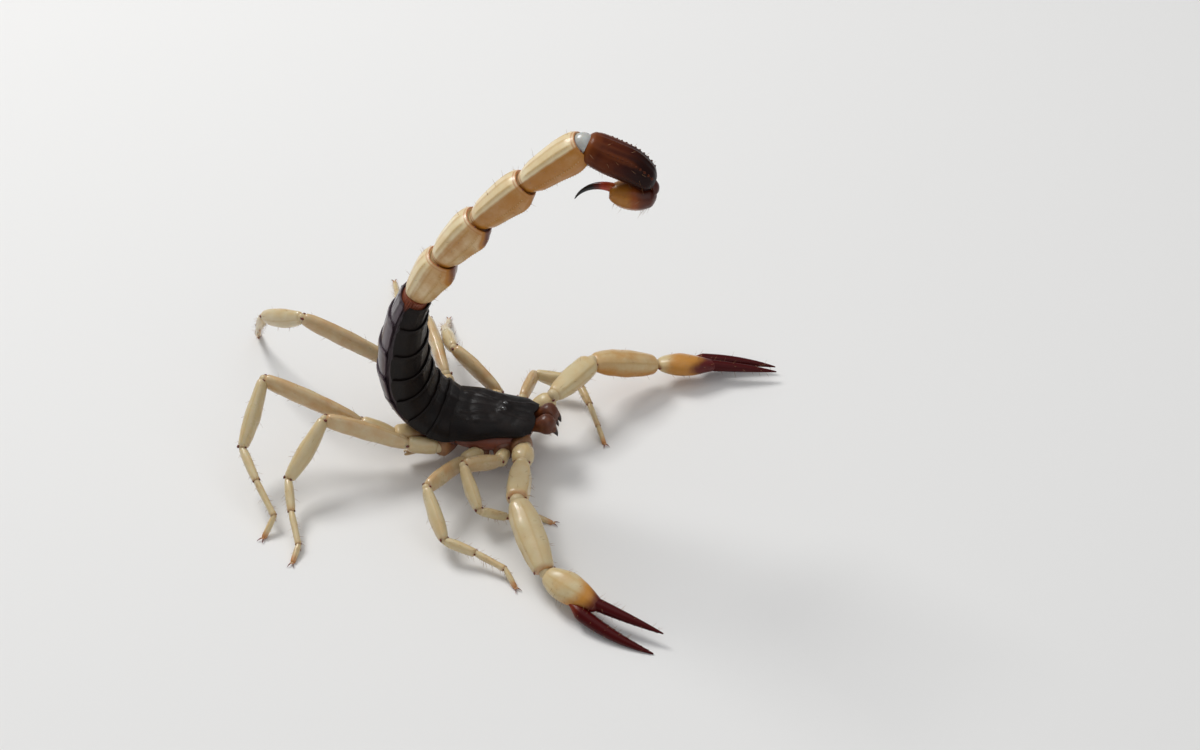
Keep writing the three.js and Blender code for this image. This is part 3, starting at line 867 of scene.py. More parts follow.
def tailTone(n, length):
    # the back of a ring darkens towards its far joint, partly red-brown pigment and partly painted shade, and
    # the last ring towards its start and keels
    ring = tailRings[n]

    def lastTone(x, angle):
        share = x / length
        start = 0.72 * smoothStep(0.34, 0.0, share)
        keel = 0.5 * max(angleHump(angle, 218, 15), angleHump(angle, -38, 15)) * hump(share, 0.4, 0.35)
        return max(start, keel, 0.3 * hump(share, 0.3, 0.3))

    def tone(x, angle):
        share, up = x / length, sin(angle)
        # painted shade: warm amber over the flanks and back above the lower side keels
        flank = ring["flank"] * smoothStep(-0.62, -0.42, up)
        front = 0.3 * hump(x, 0, 0.5) * smoothStep(-0.2, 0.8, up) + flank
        # partly red-brown pigment and partly painted shade on the back towards the far joint
        dark = smoothStep(0.54, 0.86, share) * smoothStep(0.25, 0.9, up) * ring["dark"]
        return max(front, dark, 0.22 * hump(x, length, 0.5))

    return lastTone if n == 4 else tone


def buildTail():
    for n in range(len(tailRings)):
        isLast = n == 4
        surface, length, place, keels = tailSurface(n)
        bm = newMesh()
        rim = [length + d for d in (0.04, 0.1, 0.2, 0.35, 0.5)]
        places = [-0.08, -0.05, 0, 0.06, 0.13] if isLast else [-0.55, -0.35, -0.15, 0.0, 0.1]
        places += evenly(0.2, length - 0.15, tail["steps"]) + [length - 0.06, length]

        def ends(x, angle):
            # fine double rings at both ends, and a darker far half on the last ring
            front = 0.9 * hump(x, 0.0, 0.09) + 0.75 * hump(x, 0.32, 0.07)
            if isLast:
                front = max(front, 0.9 * smoothStep(0.3, 0.85, x / length))
            return min(front + 0.9 * hump(x, length + 0.02, 0.1) + 0.6 * hump(x, length - 0.3, 0.06), 1)

        addTube(bm, tail["sides"], places + rim, surface, tone=tailTone(n, length), ends=ends)
        strong = [keel for keel in keels if keel[1] > 0.06]
        beads = keelBeads(surface, length, strong, tail["beads"], 0.06, first=0.14)
        look, slot = "tailShell", "tail"
        if isLast:
            look, slot = "darkTail", "tail_end"
            # lobed teeth along the lower side keels, larger towards the sting
            lobes = tail["lobes"]
            for at in lobes["angles"]:
                for share in evenly(lobes["first"], lobes["last"], lobes["count"]):
                    point = surface(length * share, radians(at))[0]
                    beads.append(beadAt(point, 0.07 + 0.14 * share, ridge=1))
        joinSmall(bm, beads, makeBead)
        finishPiece(bm, f"tail_ring_{n + 1}", look, [f"metasoma_{n + 1}"])
        scatterHairs(surface, length, place, tail["lastHairs" if isLast else "hairs"], 0.8, lean=0.5)


bladder = {
    "x": 24.3, "z": 43.45, "heading": 178, "length": 5.6, "wide": 1.8, "top": 1.4, "bottom": 1.85,
    "profile": [(0, 0.45), (0.1, 0.74), (0.34, 1), (0.62, 1.02), (0.84, 0.84), (1, 0.56)],
    "keels": [(-90, 0.07, 7), (-60, 0.05, 6), (240, 0.05, 6), (-28, 0.05, 6), (208, 0.05, 6)],
}
# the stalk turns from the end of the last ring into the bladder
stalk = {
    "back": 0.8, "below": 0.4, "steps": 14, "step": 0.17, "from": -50, "turn": -130, "wide": 0.7, "deep": 0.5,
}
sting = {
    "x": 18.9, "z": 44.2, "length": 5.3, "from": 166, "to": 246, "base": 0.54, "tip": 0.05, "steps": 36,
}


def addStalk(bm):
    places = [spineFrame(tailJoints[5].x - stalk["back"], tailJoints[5].z - stalk["below"], stalk["from"])]
    for k in range(stalk["steps"]):
        spot = places[-1].translation + places[-1].to_3x3() @ Vector((stalk["step"], 0, 0))
        heading = stalk["from"] + stalk["turn"] * smoothStep(-0.5, 12.5, k)
        places.append(spineFrame(spot.x, spot.z, heading))

    def surface(x, angle):
        return places[x] @ Vector((0, cos(angle) * stalk["wide"], sin(angle) * stalk["deep"])), 0

    addTube(bm, 28, list(range(len(places))), surface,
            tone=lambda x, angle: 0.95, ends=lambda x, angle: 0.7)


def buildBladder():
    place = spineFrame(bladder["x"], bladder["z"], bladder["heading"])
    length = bladder["length"]

    def surface(x, angle):
        share = x / length
        size = valueAt(bladder["profile"], share) * capShare(x, length + 0.3, 0.55)
        fade = smoothStep(0.15, 0.35, share) * smoothStep(0.95, 0.75, share)
        wide, top, bottom = (bladder[key] * size for key in ("wide", "top", "bottom"))
        y, z, mark = sectionPoint(angle, wide, top, bottom, 2.1, bladder["keels"], fade)
        return place @ Vector((x, y, z)), mark * 0.6

    bm = newMesh()
    places = [0.03, 0.1, 0.22, 0.4] + evenly(0.6, length, 40)
    addTube(bm, 56, places, surface, ends=lambda x, angle: 0.7 * smoothStep(0.5, 0.05, x),
            tone=lambda x, angle: 0.85 * smoothStep(4.5, 0.8, x) + 0.12 * max(sin(angle), 0))
    addStalk(bm)
    beads = keelBeads(surface, length, bladder["keels"][:3], 0.45, 0.05, first=0.2, last=0.8)
    joinSmall(bm, beads, makeBead)
    finishPiece(bm, "vesicle", "amberShell", ["telson_vesicle"])
    scatterHairs(surface, length, place, 46, 1.1, lean=0.4)


def buildSting():
    # the sting follows an even arc
    steps = sting["steps"]
    spots = [spineFrame(sting["x"], sting["z"], sting["from"])]
    for k in range(steps):
        heading = sting["from"] + (sting["to"] - sting["from"]) * (k + 1) / steps
        spot = spots[-1].translation + spots[-1].to_3x3() @ Vector((sting["length"] / steps, 0, 0))
        spots.append(spineFrame(spot.x, spot.z, heading))

    def surface(x, angle):
        k = min(max(int(round(x)), 0), steps)
        share = k / steps
        radius = sting["base"] * (1 - share) ** 0.85 + sting["tip"]
        if x < 0:
            radius *= 0.9
        offset = Vector((min(x, 0) * 0.15, cos(angle) * radius, sin(angle) * radius))
        return spots[k] @ offset, 0

    bm = newMesh()
    addTube(bm, 32, [-3] + list(range(steps + 1)), surface,
            tone=lambda x, angle: smoothStep(3, 20, x), ends=lambda x, angle: 0.7 * smoothStep(5, 0, x))
    finishPiece(bm, "sting", "stingShell", ["aculeus"])


buildTail()
buildBladder()
buildSting()
print("Tail and sting made")


palpSizes = {
    "trochanter": {
        "length": 4.1, "wide": 1.4, "deep": 1.4, "cap": 1.2, "square": 2.1,
        "sides": 36, "steps": 14, "hairs": 6,
        "profile": [(0, 0.8), (0.45, 1.06), (1, 0.8)],
        "keels": [(70, 0.06, 8), (-70, 0.05, 8), (150, 0.05, 8)],
    },
    "femur": {
        "length": 8.4, "wide": 1.5, "deep": 1.35, "cap": 0.6, "square": 2.6,
        "sides": 48, "steps": 34, "hairs": 20,
        "profile": [(0, 0.62), (0.12, 0.78), (0.35, 0.95), (0.72, 1.02), (0.9, 0.95), (1, 0.84)],
        "keels": [(42, 0.09, 5), (138, 0.09, 5), (-42, 0.08, 5), (222, 0.09, 5),
                  (180, 0.04, 6), (0, 0.04, 6)],
    },
    "patella": {
        "length": 10.6, "wide": 1.84, "deep": 1.62, "cap": 0.7, "square": 2.3,
        "sides": 56, "steps": 40, "hairs": 24,
        "profile": [(0, 0.6), (0.08, 0.76), (0.24, 0.97), (0.42, 1.05), (0.7, 0.97), (0.9, 0.8), (1, 0.66)],
        "keels": [(38, 0.07, 5), (90, 0.05, 5), (142, 0.08, 5), (-40, 0.07, 5), (220, 0.08, 5),
                  (-90, 0.04, 5), (180, 0.05, 5), (0, 0.04, 5)],
    },
    "hand": {
        "length": 7.0, "wide": 1.92, "deep": 1.4, "cap": 0.8, "square": 2.1, "longer": 1.5, "lean": 0.55,
        "sides": 56, "steps": 40, "hairs": 26,
        "profile": [(0, 0.42), (0.07, 0.62), (0.2, 0.87), (0.38, 1.03), (0.56, 0.95), (0.78, 0.71),
                    (1, 0.45)],
        "keels": [(90, 0.025, 5), (48, 0.025, 5), (132, 0.025, 5), (-48, 0.025, 5), (228, 0.025, 5)],
    },
}
# the far pedipalp carries a painted shade, a warmer amber that the near one lacks
palpPoses = {
    "right": {"hip": (8.0, -3.2, 4.2), "yaws": [-85, -84, -61, -33, -21], "pitches": [12, 10, -18, -7, -6],
              "handRoll": 34, "outer": -1, "open": 1.0, "farPalpShade": 0},
    "left": {"hip": (8.0, 3.2, 4.2), "yaws": [26, 61, 34, 18, 8], "pitches": [44, 1, -22, -7, -5],
             "handRoll": 14, "outer": 1, "open": 0.3, "farPalpShade": 0.28},
}
fingers = {
    "length": 10.2,
    "tip": 0.09,
    "fixed": {"wide": 0.86, "deep": 0.84, "overlap": 2.6, "offset": 0.5, "bow": -0.1, "hook": 0.1,
              "wedge": 2.6, "open": 0.5},
    "free": {"wide": 0.92, "deep": 0.9, "overlap": 2.5, "offset": 0.92, "bow": 0.42, "hook": 0.25,
             "wedge": 2.4, "open": 1.1},
    "rows": 9,
    "rowTeeth": 9,
    "hairs": 24,
}


def palpPlaces(pose, handRoll=0):
    # a place for each piece, with the hand and the fingers turned by handRoll
    lengths = [size["length"] for size in palpSizes.values()]
    joints = jointsOf(pose["hip"], lengths, pose["yaws"], pose["pitches"])
    rolls = (0, 0, 0, handRoll, handRoll)
    return [frameAt(*spot) for spot in zip(joints, pose["yaws"], pose["pitches"], rolls)]


def fingerSurface(place, size, side, opening):
    # side is the way the finger lies from the hand's middle line
    length = fingers["length"] + size["overlap"] - 0.3

    def surface(x, angle):
        share = min(max(x / length, 0), 1)
        taper = 1 - share ** 2.1
        start = (0.3 + 0.7 * smoothStep(0, size["wedge"], x)) * sqrt(1 - 0.98 * (1 - min(x / 0.5, 1)) ** 2)
        wide = (fingers["tip"] + (size["wide"] - fingers["tip"]) * taper) * start
        deep = (fingers["tip"] + (size["deep"] - fingers["tip"]) * taper) * start
        y, z, mark = sectionPoint(angle, wide, deep, deep, 2.15, ((90, 0.04, 7), (-90, 0.04, 7)), taper)
        root = -0.3 * smoothStep(size["wedge"], 0, x)
        apart = size["bow"] * sin(pi * share) - size["hook"] * share ** 4 + size["open"] * opening * share
        offset = side * (size["offset"] + root + apart)
        return place @ Vector((x - size["overlap"], y + offset, z - 0.25 * share ** 3)), mark * 0.4

    return surface, length


def fingerTeeth(surface, length, side):
    # slanting rows of fine teeth along the cutting edge, each row ending in a larger one
    beads = []
    inner = 180 if side > 0 else 0
    rows, count = fingers["rows"], fingers["rowTeeth"]
    for row in range(rows):
        start = 0.26 + 0.69 * row / rows
        for k in range(count):
            share = start + 0.69 / rows * k / count
            slant = (k - count // 2) * 2.2
            point = surface(length * share, radians(inner + slant))[0]
            beads.append(beadAt(point, 0.1 if k == count - 1 else 0.055, ridge=1, tone=1))
        for flank in (-26, 26):
            point = surface(length * (start + 0.06), radians(inner + flank))[0]
            beads.append(beadAt(point, 0.075, ridge=1, tone=1))
    return beads


def jointEnds(length, spread=0.3, strength=0.85):
    return lambda x, angle: strength * min(hump(x, 0, spread) + hump(x, length, spread), 1)


def palpTone(farPalpShade, isHand, length):
    # the painted shade of the far pedipalp grows from the hip outwards, and the far end of the hand reddens
    # along its edges first
    def handTone(x, angle):
        edge = abs(cos(angle)) ** 3
        early = (0.2 + 0.9 * farPalpShade) * smoothStep(0.0, 0.4, (x + edge) / length)
        amber = 0.46 * smoothStep(0.36, 0.82, (x + 1.3 * edge) / length)
        far = (x + (0.9 + 4 * farPalpShade) * edge) / length
        red = 0.44 * smoothStep(0.68 - 0.6 * farPalpShade, 1.04 - 0.3 * farPalpShade, far)
        return max(0.26 * edge, early, amber) + red

    def armTone(x, angle):
        # the painted shade is strongest on the underside
        under = 0.8 + 0.5 * smoothStep(0.3, -0.5, sin(angle))
        return max(1.25 * farPalpShade * under, 0.3 * smoothStep(0.84, 1.0, x / length))

    return handTone if isHand else armTone


def buildPalpPiece(name, part, k, pose, place):
    size = palpSizes[part]
    isHand = part == "hand"
    longer = dict(size, length=size["length"] + size.get("longer", 0))
    plain, length, cap = limbSurface(place, longer, start=-0.12)
    lean = place.to_3x3() @ Vector((0, -pose["outer"] * size.get("lean", 0), 0))

    def surface(x, angle):
        point, mark = plain(x, angle)
        return point + lean * smoothStep(0, length, x), mark

    bm = newMesh()
    # the painted shade starts past the trochanter
    farPalpShade = pose["farPalpShade"] * smoothStep(-0.5, 0.5, k - 1)
    ends = (lambda x, angle: 0.6 * hump(x, 0, 0.3)) if isHand else jointEnds(length)
    addTube(bm, size["sides"], capPlaces(length, cap, size["steps"]), surface,
            tone=palpTone(farPalpShade, isHand, length), ends=ends)
    strong = [keel for keel in size["keels"] if keel[1] > 0.045]
    joinSmall(bm, keelBeads(surface, length, strong, 0.36, 0.045), makeBead)
    # a pedipalp with painted shade takes the hand's warmer look on every piece
    shade = "handShell" if isHand or pose["farPalpShade"] else "straw"
    finishPiece(bm, f"pedipalp_{name}_{part}", shade, [f"palp_{name}_{part}"])
    scatterHairs(surface, length, place, size["hairs"], 0.75, lean=0.5)


def buildFinger(name, label, node, side, place, opening):
    surface, length = fingerSurface(place, fingers[label], side, opening)
    bm = newMesh()
    addTube(bm, 32, [0.02, 0.08, 0.2, 0.36, 0.6] + evenly(0.9, length, 54), surface,
            tone=lambda x, angle: 0.5 + 0.5 * smoothStep(0.2, 3.4, x))
    joinSmall(bm, fingerTeeth(surface, length, side), makeBead)
    finishPiece(bm, f"pedipalp_{name}_{label}_finger", "fingerShell", [f"palp_{name}_{node}"])
    scatterHairs(surface, length, place, fingers["hairs"], 0.7, lean=0.5)


def buildPalps():
    for name, pose in palpPoses.items():
        outer = pose["outer"]
        places = palpPlaces(pose, -outer * pose["handRoll"])
        for k, part in enumerate(palpSizes):
            buildPalpPiece(name, part, k, pose, places[k])
        buildFinger(name, "fixed", "hand", -outer, places[4], pose["open"])
        buildFinger(name, "free", "free_finger", outer, places[4], pose["open"])


buildPalps()
print("Pedipalps made")


legs = [
    {"hip": (5.6, 4.0, 3.8), "lengths": [2.6, 6.2, 6.2, 4.0, 3.8, 2.6], "thick": 0.88},
    {"hip": (2.2, 4.3, 3.8), "lengths": [3.0, 8.5, 7.4, 4.3, 4.3, 2.8], "thick": 0.95},
    {"hip": (-3.2, 4.3, 4.0), "lengths": [4.2, 11.2, 9.0, 4.6, 4.8, 2.6], "thick": 1.0},
    {"hip": (-9.0, 3.8, 4.8), "lengths": [5.0, 13.6, 9.4, 5.2, 5.2, 3.1], "thick": 1.0},
]
legPoses = {
    "right": [
        {"yaws": [-100, -132, -58, 20, 30, -10], "pitches": [12, 26, -33, -27, -15]},
        {"yaws": [-125, -112, -60, -10, -22, -50], "pitches": [5, 14, -26, -12, -8]},
        {"yaws": [-167, -171, -119, -72, -66, -95], "pitches": [12, 23, -35, -22, -18]},
        {"yaws": [179, 177, -101, -55, -50, -112], "pitches": [20, 23, -38, -20, -26]},
    ],
    "left": [
        {"yaws": [78, 84, -4, -60, -64, -60], "pitches": [14, -8, -6, -10, -12]},
        {"yaws": [80, 152, 112, 105, 95, 100], "pitches": [14, 28, -20, -34, -30]},
        {"yaws": [112, 114, 128, 118, 105, 110], "pitches": [40, 4, -30, -20, -10]},
        {"yaws": [131, 176, 146, 124, 116, 107], "pitches": [49, 25, -27, -50, -50]},
    ],
}
# the trochanter and femur carry a painted shade, a steady tone toward Warm that makes them browner than the
# pieces below
legShapes = [
    {"wide": 0.98, "deep": 1.12, "cap": 0.55, "profile": [(0, 0.8), (0.35, 1), (0.75, 1.02), (1, 0.82)],
     "keels": [(90, 0.03, 8)], "sides": 32, "steps": 14, "tuck": -0.1, "paintedShade": 0.17, "hairs": (4, 0.6)},
    {"wide": 0.84, "deep": 1.28, "cap": 0.45, "square": 2.25, "bow": (0, 0.12),
     "profile": [(0, 0.62), (0.08, 0.8), (0.25, 0.94), (0.55, 1.02), (0.82, 0.95), (0.94, 0.8), (1, 0.64)],
     "keels": [(74, 0.035, 5), (106, 0.035, 5), (-80, 0.05, 5), (180, 0.03, 6)], "sides": 40, "steps": 36,
     "tuck": -0.3, "paintedShade": 0.25, "hairs": (16, 0.7), "beads": True},
    {"wide": 0.92, "deep": 1.3, "cap": 0.45, "square": 2.2, "bow": (0, -0.16),
     "profile": [(0, 0.58), (0.08, 0.74), (0.28, 0.92), (0.55, 1.06), (0.8, 0.92), (0.93, 0.74), (1, 0.6)],
     "keels": [(90, 0.04, 5), (-84, 0.07, 4.5), (180, 0.04, 5), (0, 0.04, 5)], "sides": 40, "steps": 32,
     "tuck": -0.1, "hairs": (15, 0.7), "beads": True},
    {"wide": 0.6, "deep": 0.74, "cap": 0.3, "profile": [(0, 0.78), (0.25, 1), (0.7, 0.96), (1, 0.8)],
     "keels": [(-60, 0.02, 8), (240, 0.02, 8)], "sides": 28, "steps": 20,
     "tuck": -0.1, "warm": 0.2, "hairs": (16, 0.7), "soleHairs": 12},
    {"wide": 0.44, "deep": 0.5, "cap": 0.25, "profile": [(0, 0.88), (0.2, 1), (0.7, 0.9), (1, 0.98)],
     "keels": [(-90, 0.02, 10)], "sides": 24, "steps": 18,
     "tuck": -0.3, "warm": 0.2, "hairs": (18, 0.7), "soleHairs": 12},
    {"wide": 0.38, "deep": 0.42, "cap": 0.2, "profile": [(0, 0.84), (0.3, 1), (0.8, 0.92), (1, 0.8)],
     "keels": [(90, 0.02, 10)], "sides": 24, "steps": 14,
     "tuck": -0.3, "warm": 0.42, "hairs": (6, 0.45), "soleHairs": 12},
]
# each CAD node's share of the six pieces of a leg
legParts = {"femur": (0, 1), "patella": (2,), "foot": (3, 4, 5)}
soleHeight = 0.15
claw = {"length": 1.05, "thick": 0.1, "spread": 26, "curl": 70, "pitch": 24}
spurs = {
    "last": {"below": 0.12, "spread": 32, "drop": 40, "length": 0.8, "thick": 0.1, "curl": 20, "tone": 0.8},
    "inner": {"below": 0.2, "spread": 14, "drop": 42, "length": 1.1, "thick": 0.13, "curl": 15, "tone": 0.6},
}


def eachLeg():
    # gives every leg's side, number, sizes, directions and joints
    for name, poses in legPoses.items():
        for k, pose in enumerate(poses):
            leg, yaws, pitches = legs[k], pose["yaws"], pose["pitches"]
            x, y, z = leg["hip"]
            joints = jointsOf((x, sides[name] * y, z), leg["lengths"][:5], yaws, pitches)
            # the last piece comes down to its sole
            drop = degrees(asin((soleHeight - joints[5].z) / leg["lengths"][5]))
            yield name, k, leg, yaws, pitches + [drop], joints


def addCurvedSpike(bm, place, length, thick, curl, corners=8, steps=9, tone=0.0):
    # a spike that starts along X and curls downwards
    spots = [place.copy()]
    for k in range(steps):
        spots.append(spots[-1] @ Matrix.Translation((length / steps, 0, 0))
                     @ Matrix.Rotation(radians(curl / steps), 4, "Y"))

    def surface(x, angle):
        radius = thick * (1 - (x / steps) ** 1.5) + 0.012
        return spots[x] @ Vector((0, cos(angle) * radius, sin(angle) * radius)), 0

    addTube(bm, corners, list(range(steps + 1)), surface,
            tone=lambda x, angle: tone * smoothStep(0, steps * 0.6, x))
    return spots


def addLegPiece(bm, shape, leg, length, place):
    # adds one piece of a leg, and gives back the granules for its keels
    shape = dict(shape, length=length, wide=shape["wide"] * leg["thick"], deep=shape["deep"] * leg["thick"])
    surface, length, cap = limbSurface(place, shape, start=shape["tuck"])
    # painted shade on the trochanter and femur; the lower pieces warm towards their far ends
    warm, paintedShade = shape.get("warm", 0), shape.get("paintedShade", 0)
    addTube(bm, shape["sides"], capPlaces(length, cap, shape["steps"]), surface,
            ends=jointEnds(length, 0.24, 0.7),
            tone=lambda x, angle: max(warm * smoothStep(length * 0.3, length, x), paintedShade))
    beads = keelBeads(surface, length, shape["keels"][1:3], 0.42, 0.03) if "beads" in shape else []
    scatterHairs(surface, length, place, *shape["hairs"], lean=0.7)
    if "soleHairs" in shape:
        scatterHairs(surface, length, place, shape["soleHairs"], 0.45, angles=(235, 305), lean=0.5)
    return beads


def addSpur(bm, spur, joint, yaw, pitch):
    place = frameAt(joint + Vector((0, 0, -spur["below"])), yaw, pitch - spur["drop"])
    addCurvedSpike(bm, place, spur["length"], spur["thick"], spur["curl"], tone=spur["tone"])


def addFootDetails(bm, side, hasInnerSpur, leg, yaws, pitches, joints):
    # claws, spurs and the flat sole
    tip = frameAt(joints[5], yaws[5], pitches[5]) @ Vector((leg["lengths"][5] - 0.1, 0, 0.05))
    tip.z = max(tip.z, 0.2)
    for turn in (-1, 1):
        place = frameAt(tip, yaws[5] + turn * claw["spread"], claw["pitch"])
        addCurvedSpike(bm, place, claw["length"], claw["thick"], claw["curl"], tone=0.9)
    for turn in (-1, 1):
        addSpur(bm, spurs["last"], joints[5], yaws[4] + turn * spurs["last"]["spread"], pitches[4])
    if hasInnerSpur:
        addSpur(bm, spurs["inner"], joints[4], yaws[3] - side * spurs["inner"]["spread"], pitches[3])
    for v in bm.verts:
        v.co.z = max(v.co.z, 0)


def buildLegs():
    for name, k, leg, yaws, pitches, joints in eachLeg():
        for part, members in legParts.items():
            bm = newMesh()
            beads = []
            for i in members:
                place = frameAt(joints[i], yaws[i], pitches[i])
                beads += addLegPiece(bm, legShapes[i], leg, leg["lengths"][i], place)
            joinSmall(bm, beads, makeBead)
            if part == "foot":
                addFootDetails(bm, sides[name], k > 1, leg, yaws, pitches, joints)
            piece = f"leg_{name}_{k + 1}_{part}"
            finishPiece(bm, piece + "_shell", "straw", [piece])


buildLegs()
print("Legs made")


jaw = {
    "length": 3.4, "wide": 1.17, "deep": 1.3, "cap": 1.15, "square": 2.5, "keels": [(90, 0.02, 10)],
    "profile": [(0, 0.5), (0.3, 0.72), (0.5, 0.96), (0.7, 1.02), (0.88, 0.98), (1, 0.84)],
    "apart": 2.5, "height": 6.3, "inset": 0.6, "yaw": 4, "pitch": 16,
    "fangSteps": 14, "teeth": [(5, 0.15), (8, 0.13), (11, 0.09)],
}
jawFingers = [
    {"start": (2.6, 0.45, -0.3), "length": 1.85, "thick": 0.54, "yaw": -6, "pitch": -54, "curl": 46},
    {"start": (2.45, -0.4, -0.5), "length": 1.7, "thick": 0.46, "yaw": 4, "pitch": -56, "curl": 40},
]


def buildJaws():
    for name, side in sides.items():
        base = Vector((prosoma["front"] - jaw["inset"], side * jaw["apart"] / 2, jaw["height"]))
        place = frameAt(base, -side * jaw["yaw"], jaw["pitch"])
        surface, length, cap = limbSurface(place, jaw, start=-1.2)
        bm = newMesh()
        addTube(bm, 40, capPlaces(length, cap, 24), surface,
                tone=lambda x, angle: 0.35 * smoothStep(2.8, length, x))
        teeth = []
        steps = jaw["fangSteps"]
        for finger in jawFingers:
            x, y, z = finger["start"]
            start = place @ frameAt((x, side * y, z), side * finger["yaw"], finger["pitch"])
            spots = addCurvedSpike(bm, start, finger["length"], finger["thick"], finger["curl"], corners=20,
                                   steps=steps, tone=1)
            inward = -side if y > 0 else side
            for k, size in jaw["teeth"]:
                reach = finger["thick"] * (1 - (k / steps) ** 1.5)
                teeth.append(beadAt(spots[k] @ Vector((0, inward * reach * 0.85, -0.05)), size, tone=1))
        joinSmall(bm, teeth, makeBead)
        finishPiece(bm, f"chelicera_{name}_shell", "jawShell", [f"chelicera_{name}"])
        scatterHairs(surface, length, place, 18, 0.5, angles=(200, 340), shares=(0.6, 0.92), lean=1.2)


hips = {
    "gather": 0.55, "forward": 0.6, "rear": -1.2, "innerY": 0.75, "innerZ": 3.5, "past": 0.3,
    "thick": 1.34, "palpThick": 1.6,
    "legPales": (0.2, 0.15, 0.3, 0.85), "palpPale": 0.3,
}
hipShape = {
    "cap": 0.6, "square": 2.5, "profile": [(0, 0.6), (0.35, 0.84), (0.75, 1.02), (1, 1.0)],
    "keels": [(-50, 0.07, 7), (230, 0.07, 7), (50, 0.06, 7), (130, 0.06, 7)],
}
# breastplate, two lids behind it, and the lobes round the mouth: (middle, half sizes)
underParts = [
    ((2.4, 0, 2.85), (1.1, 0.75, 0.35)),
    ((-0.4, 0.72, 2.55), (0.95, 0.85, 0.3)),
    ((-0.4, -0.72, 2.55), (0.95, 0.85, 0.3)),
    ((-2.3, 0, 2.55), (0.8, 1.5, 0.4)),
    ((6.4, 0.55, 3.1), (1.8, 0.5, 0.5)),
    ((6.4, -0.55, 3.1), (1.8, 0.5, 0.5)),
    ((5.2, 1.2, 2.95), (1.5, 0.5, 0.45)),
    ((5.2, -1.2, 2.95), (1.5, 0.5, 0.45)),
]


def buildHips():
    bm = newMesh()
    # the hips pale towards their far ends; the red-brown nearer the body is painted shade
    arms = [(leg["hip"], hips["thick"], pale) for leg, pale in zip(legs, hips["legPales"])]
    arms.append((palpPoses["left"]["hip"], hips["palpThick"], hips["palpPale"]))
    for (x, y, z), thick, pale in arms:
        for side in sides.values():
            innerX = max(x * hips["gather"] + hips["forward"], hips["rear"])
            inner = Vector((innerX, side * hips["innerY"], hips["innerZ"]))
            reach = Vector((x, side * y, z)) - inner
            yaw = degrees(reach.to_2d().angle_signed(Vector((1, 0))))
            place = frameAt(inner, yaw, degrees(asin(reach.z / reach.length)))
            shape = dict(hipShape, length=reach.length + hips["past"], wide=thick * 0.98, deep=thick * 1.04)
            surface, length, cap = limbSurface(place, shape)
            addTube(bm, 36, capPlaces(length, cap, 24), surface, ends=jointEnds(length, 0.35, 0.8),
                    tone=lambda u, angle: pale * smoothStep(length * 0.45, length * 0.85, u))
            scatterHairs(surface, length, place, 6, 0.6, angles=(200, 340))
    for middle, size in underParts:
        addBall(bm, Matrix.Translation(middle), size, segments=32, rings=16)
    finishPiece(bm, "hips_and_breastplate", "hipShellInShade", ["prosoma_underside"])


comb = {
    "x": -3.4, "y": 1.1, "z": 2.05, "yaw": 152, "pitch": -3,
    "strip": {"length": 5.4, "wide": 0.3, "deep": 0.256, "cap": 0.25, "square": 2.4, "keels": [],
              "profile": [(0, 0.9), (0.3, 1.0), (0.8, 0.85), (1, 0.6)]},
    "plates": 9, "plateStep": 0.54, "plateSize": (0.34, 0.26, 0.2),
    "teeth": 24, "tooth": 0.9, "toothLean": -16, "bossSize": (0.12, 0.14, 0.14),
}


def buildCombs():
    for name, side in sides.items():
        base = Vector((comb["x"], side * comb["y"], comb["z"]))
        place = frameAt(base, side * comb["yaw"], comb["pitch"])
        bm = newMesh()
        # front strip, a row of middle plates, and the teeth with a boss at the root of each
        strip = comb["strip"]
        surface, length, cap = limbSurface(place @ Matrix.Translation((0, -side * 0.42, 0)), strip)
        addTube(bm, 20, capPlaces(length, cap, 26), surface)
        things = []
        for k in range(comb["plates"]):
            spot = place @ Matrix.Translation((0.45 + k * comb["plateStep"], -side * 0.02, 0))
            things.append((spot, comb["plateSize"], {"ridge": 0.5}))
        lean = Matrix.Rotation(radians(side * comb["toothLean"]), 4, "Z")
        for k in range(comb["teeth"]):
            share = (k + 0.5) / comb["teeth"]
            x = strip["length"] * (0.06 + 0.92 * share)
            taper = 1 - 0.45 * share
            spot = place @ Matrix.Translation((x, side * 0.24 * taper, 0))
            things.append((spot, comb["bossSize"], {"ridge": 0.8}))
            tooth = place @ Matrix.Translation((x, side * 0.62 * taper, -0.06)) @ lean
            things.append((tooth, (0.105, comb["tooth"] / 2 * taper, 0.13), {"tone": 0.9}))
        joinSmall(bm, things, makeBead)
        finishPiece(bm, f"comb_{name}", "comb", [f"pecten_{name}"])


buildJaws()
buildHips()
buildCombs()
print("Jaws, hips and combs made")


# the soft skin inside the plates, and balls of it at the joints
skin = {
    "corners": 128,
    "steps": 150,
    "under": [((2.3, 0, 4.8), (6.3, 4.5, 2.0)), ((7.6, 0, 5.5), (1.3, 2.6, 1.5))],
    "palpBalls": (0.98, 0.9, 0.95, 0.75),
    "legBalls": (0.8, 0.72, 0.6, 0.5, 0.4, 0.32),
    "tailShare": 0.55,
    "hingeBall": 1.4,
}


def trunkSurface(s, angle):
    # soft folds run along the flanks
    flank = abs(cos(angle)) ** 4
    wave = degrees(angle) * 0.5 + 1.4 * sin(s * 2.3) + 0.6 * sin(s * 6.1)
    pleat = (0.06 * sin(wave) + 0.03 * sin(wave * 2.3 + s * 3) + 0.02 * sin(s * 26 + wave)) * flank
    return backPoint(s, angle, back["skinShare"], pleat), max(-12 * pleat, 0)


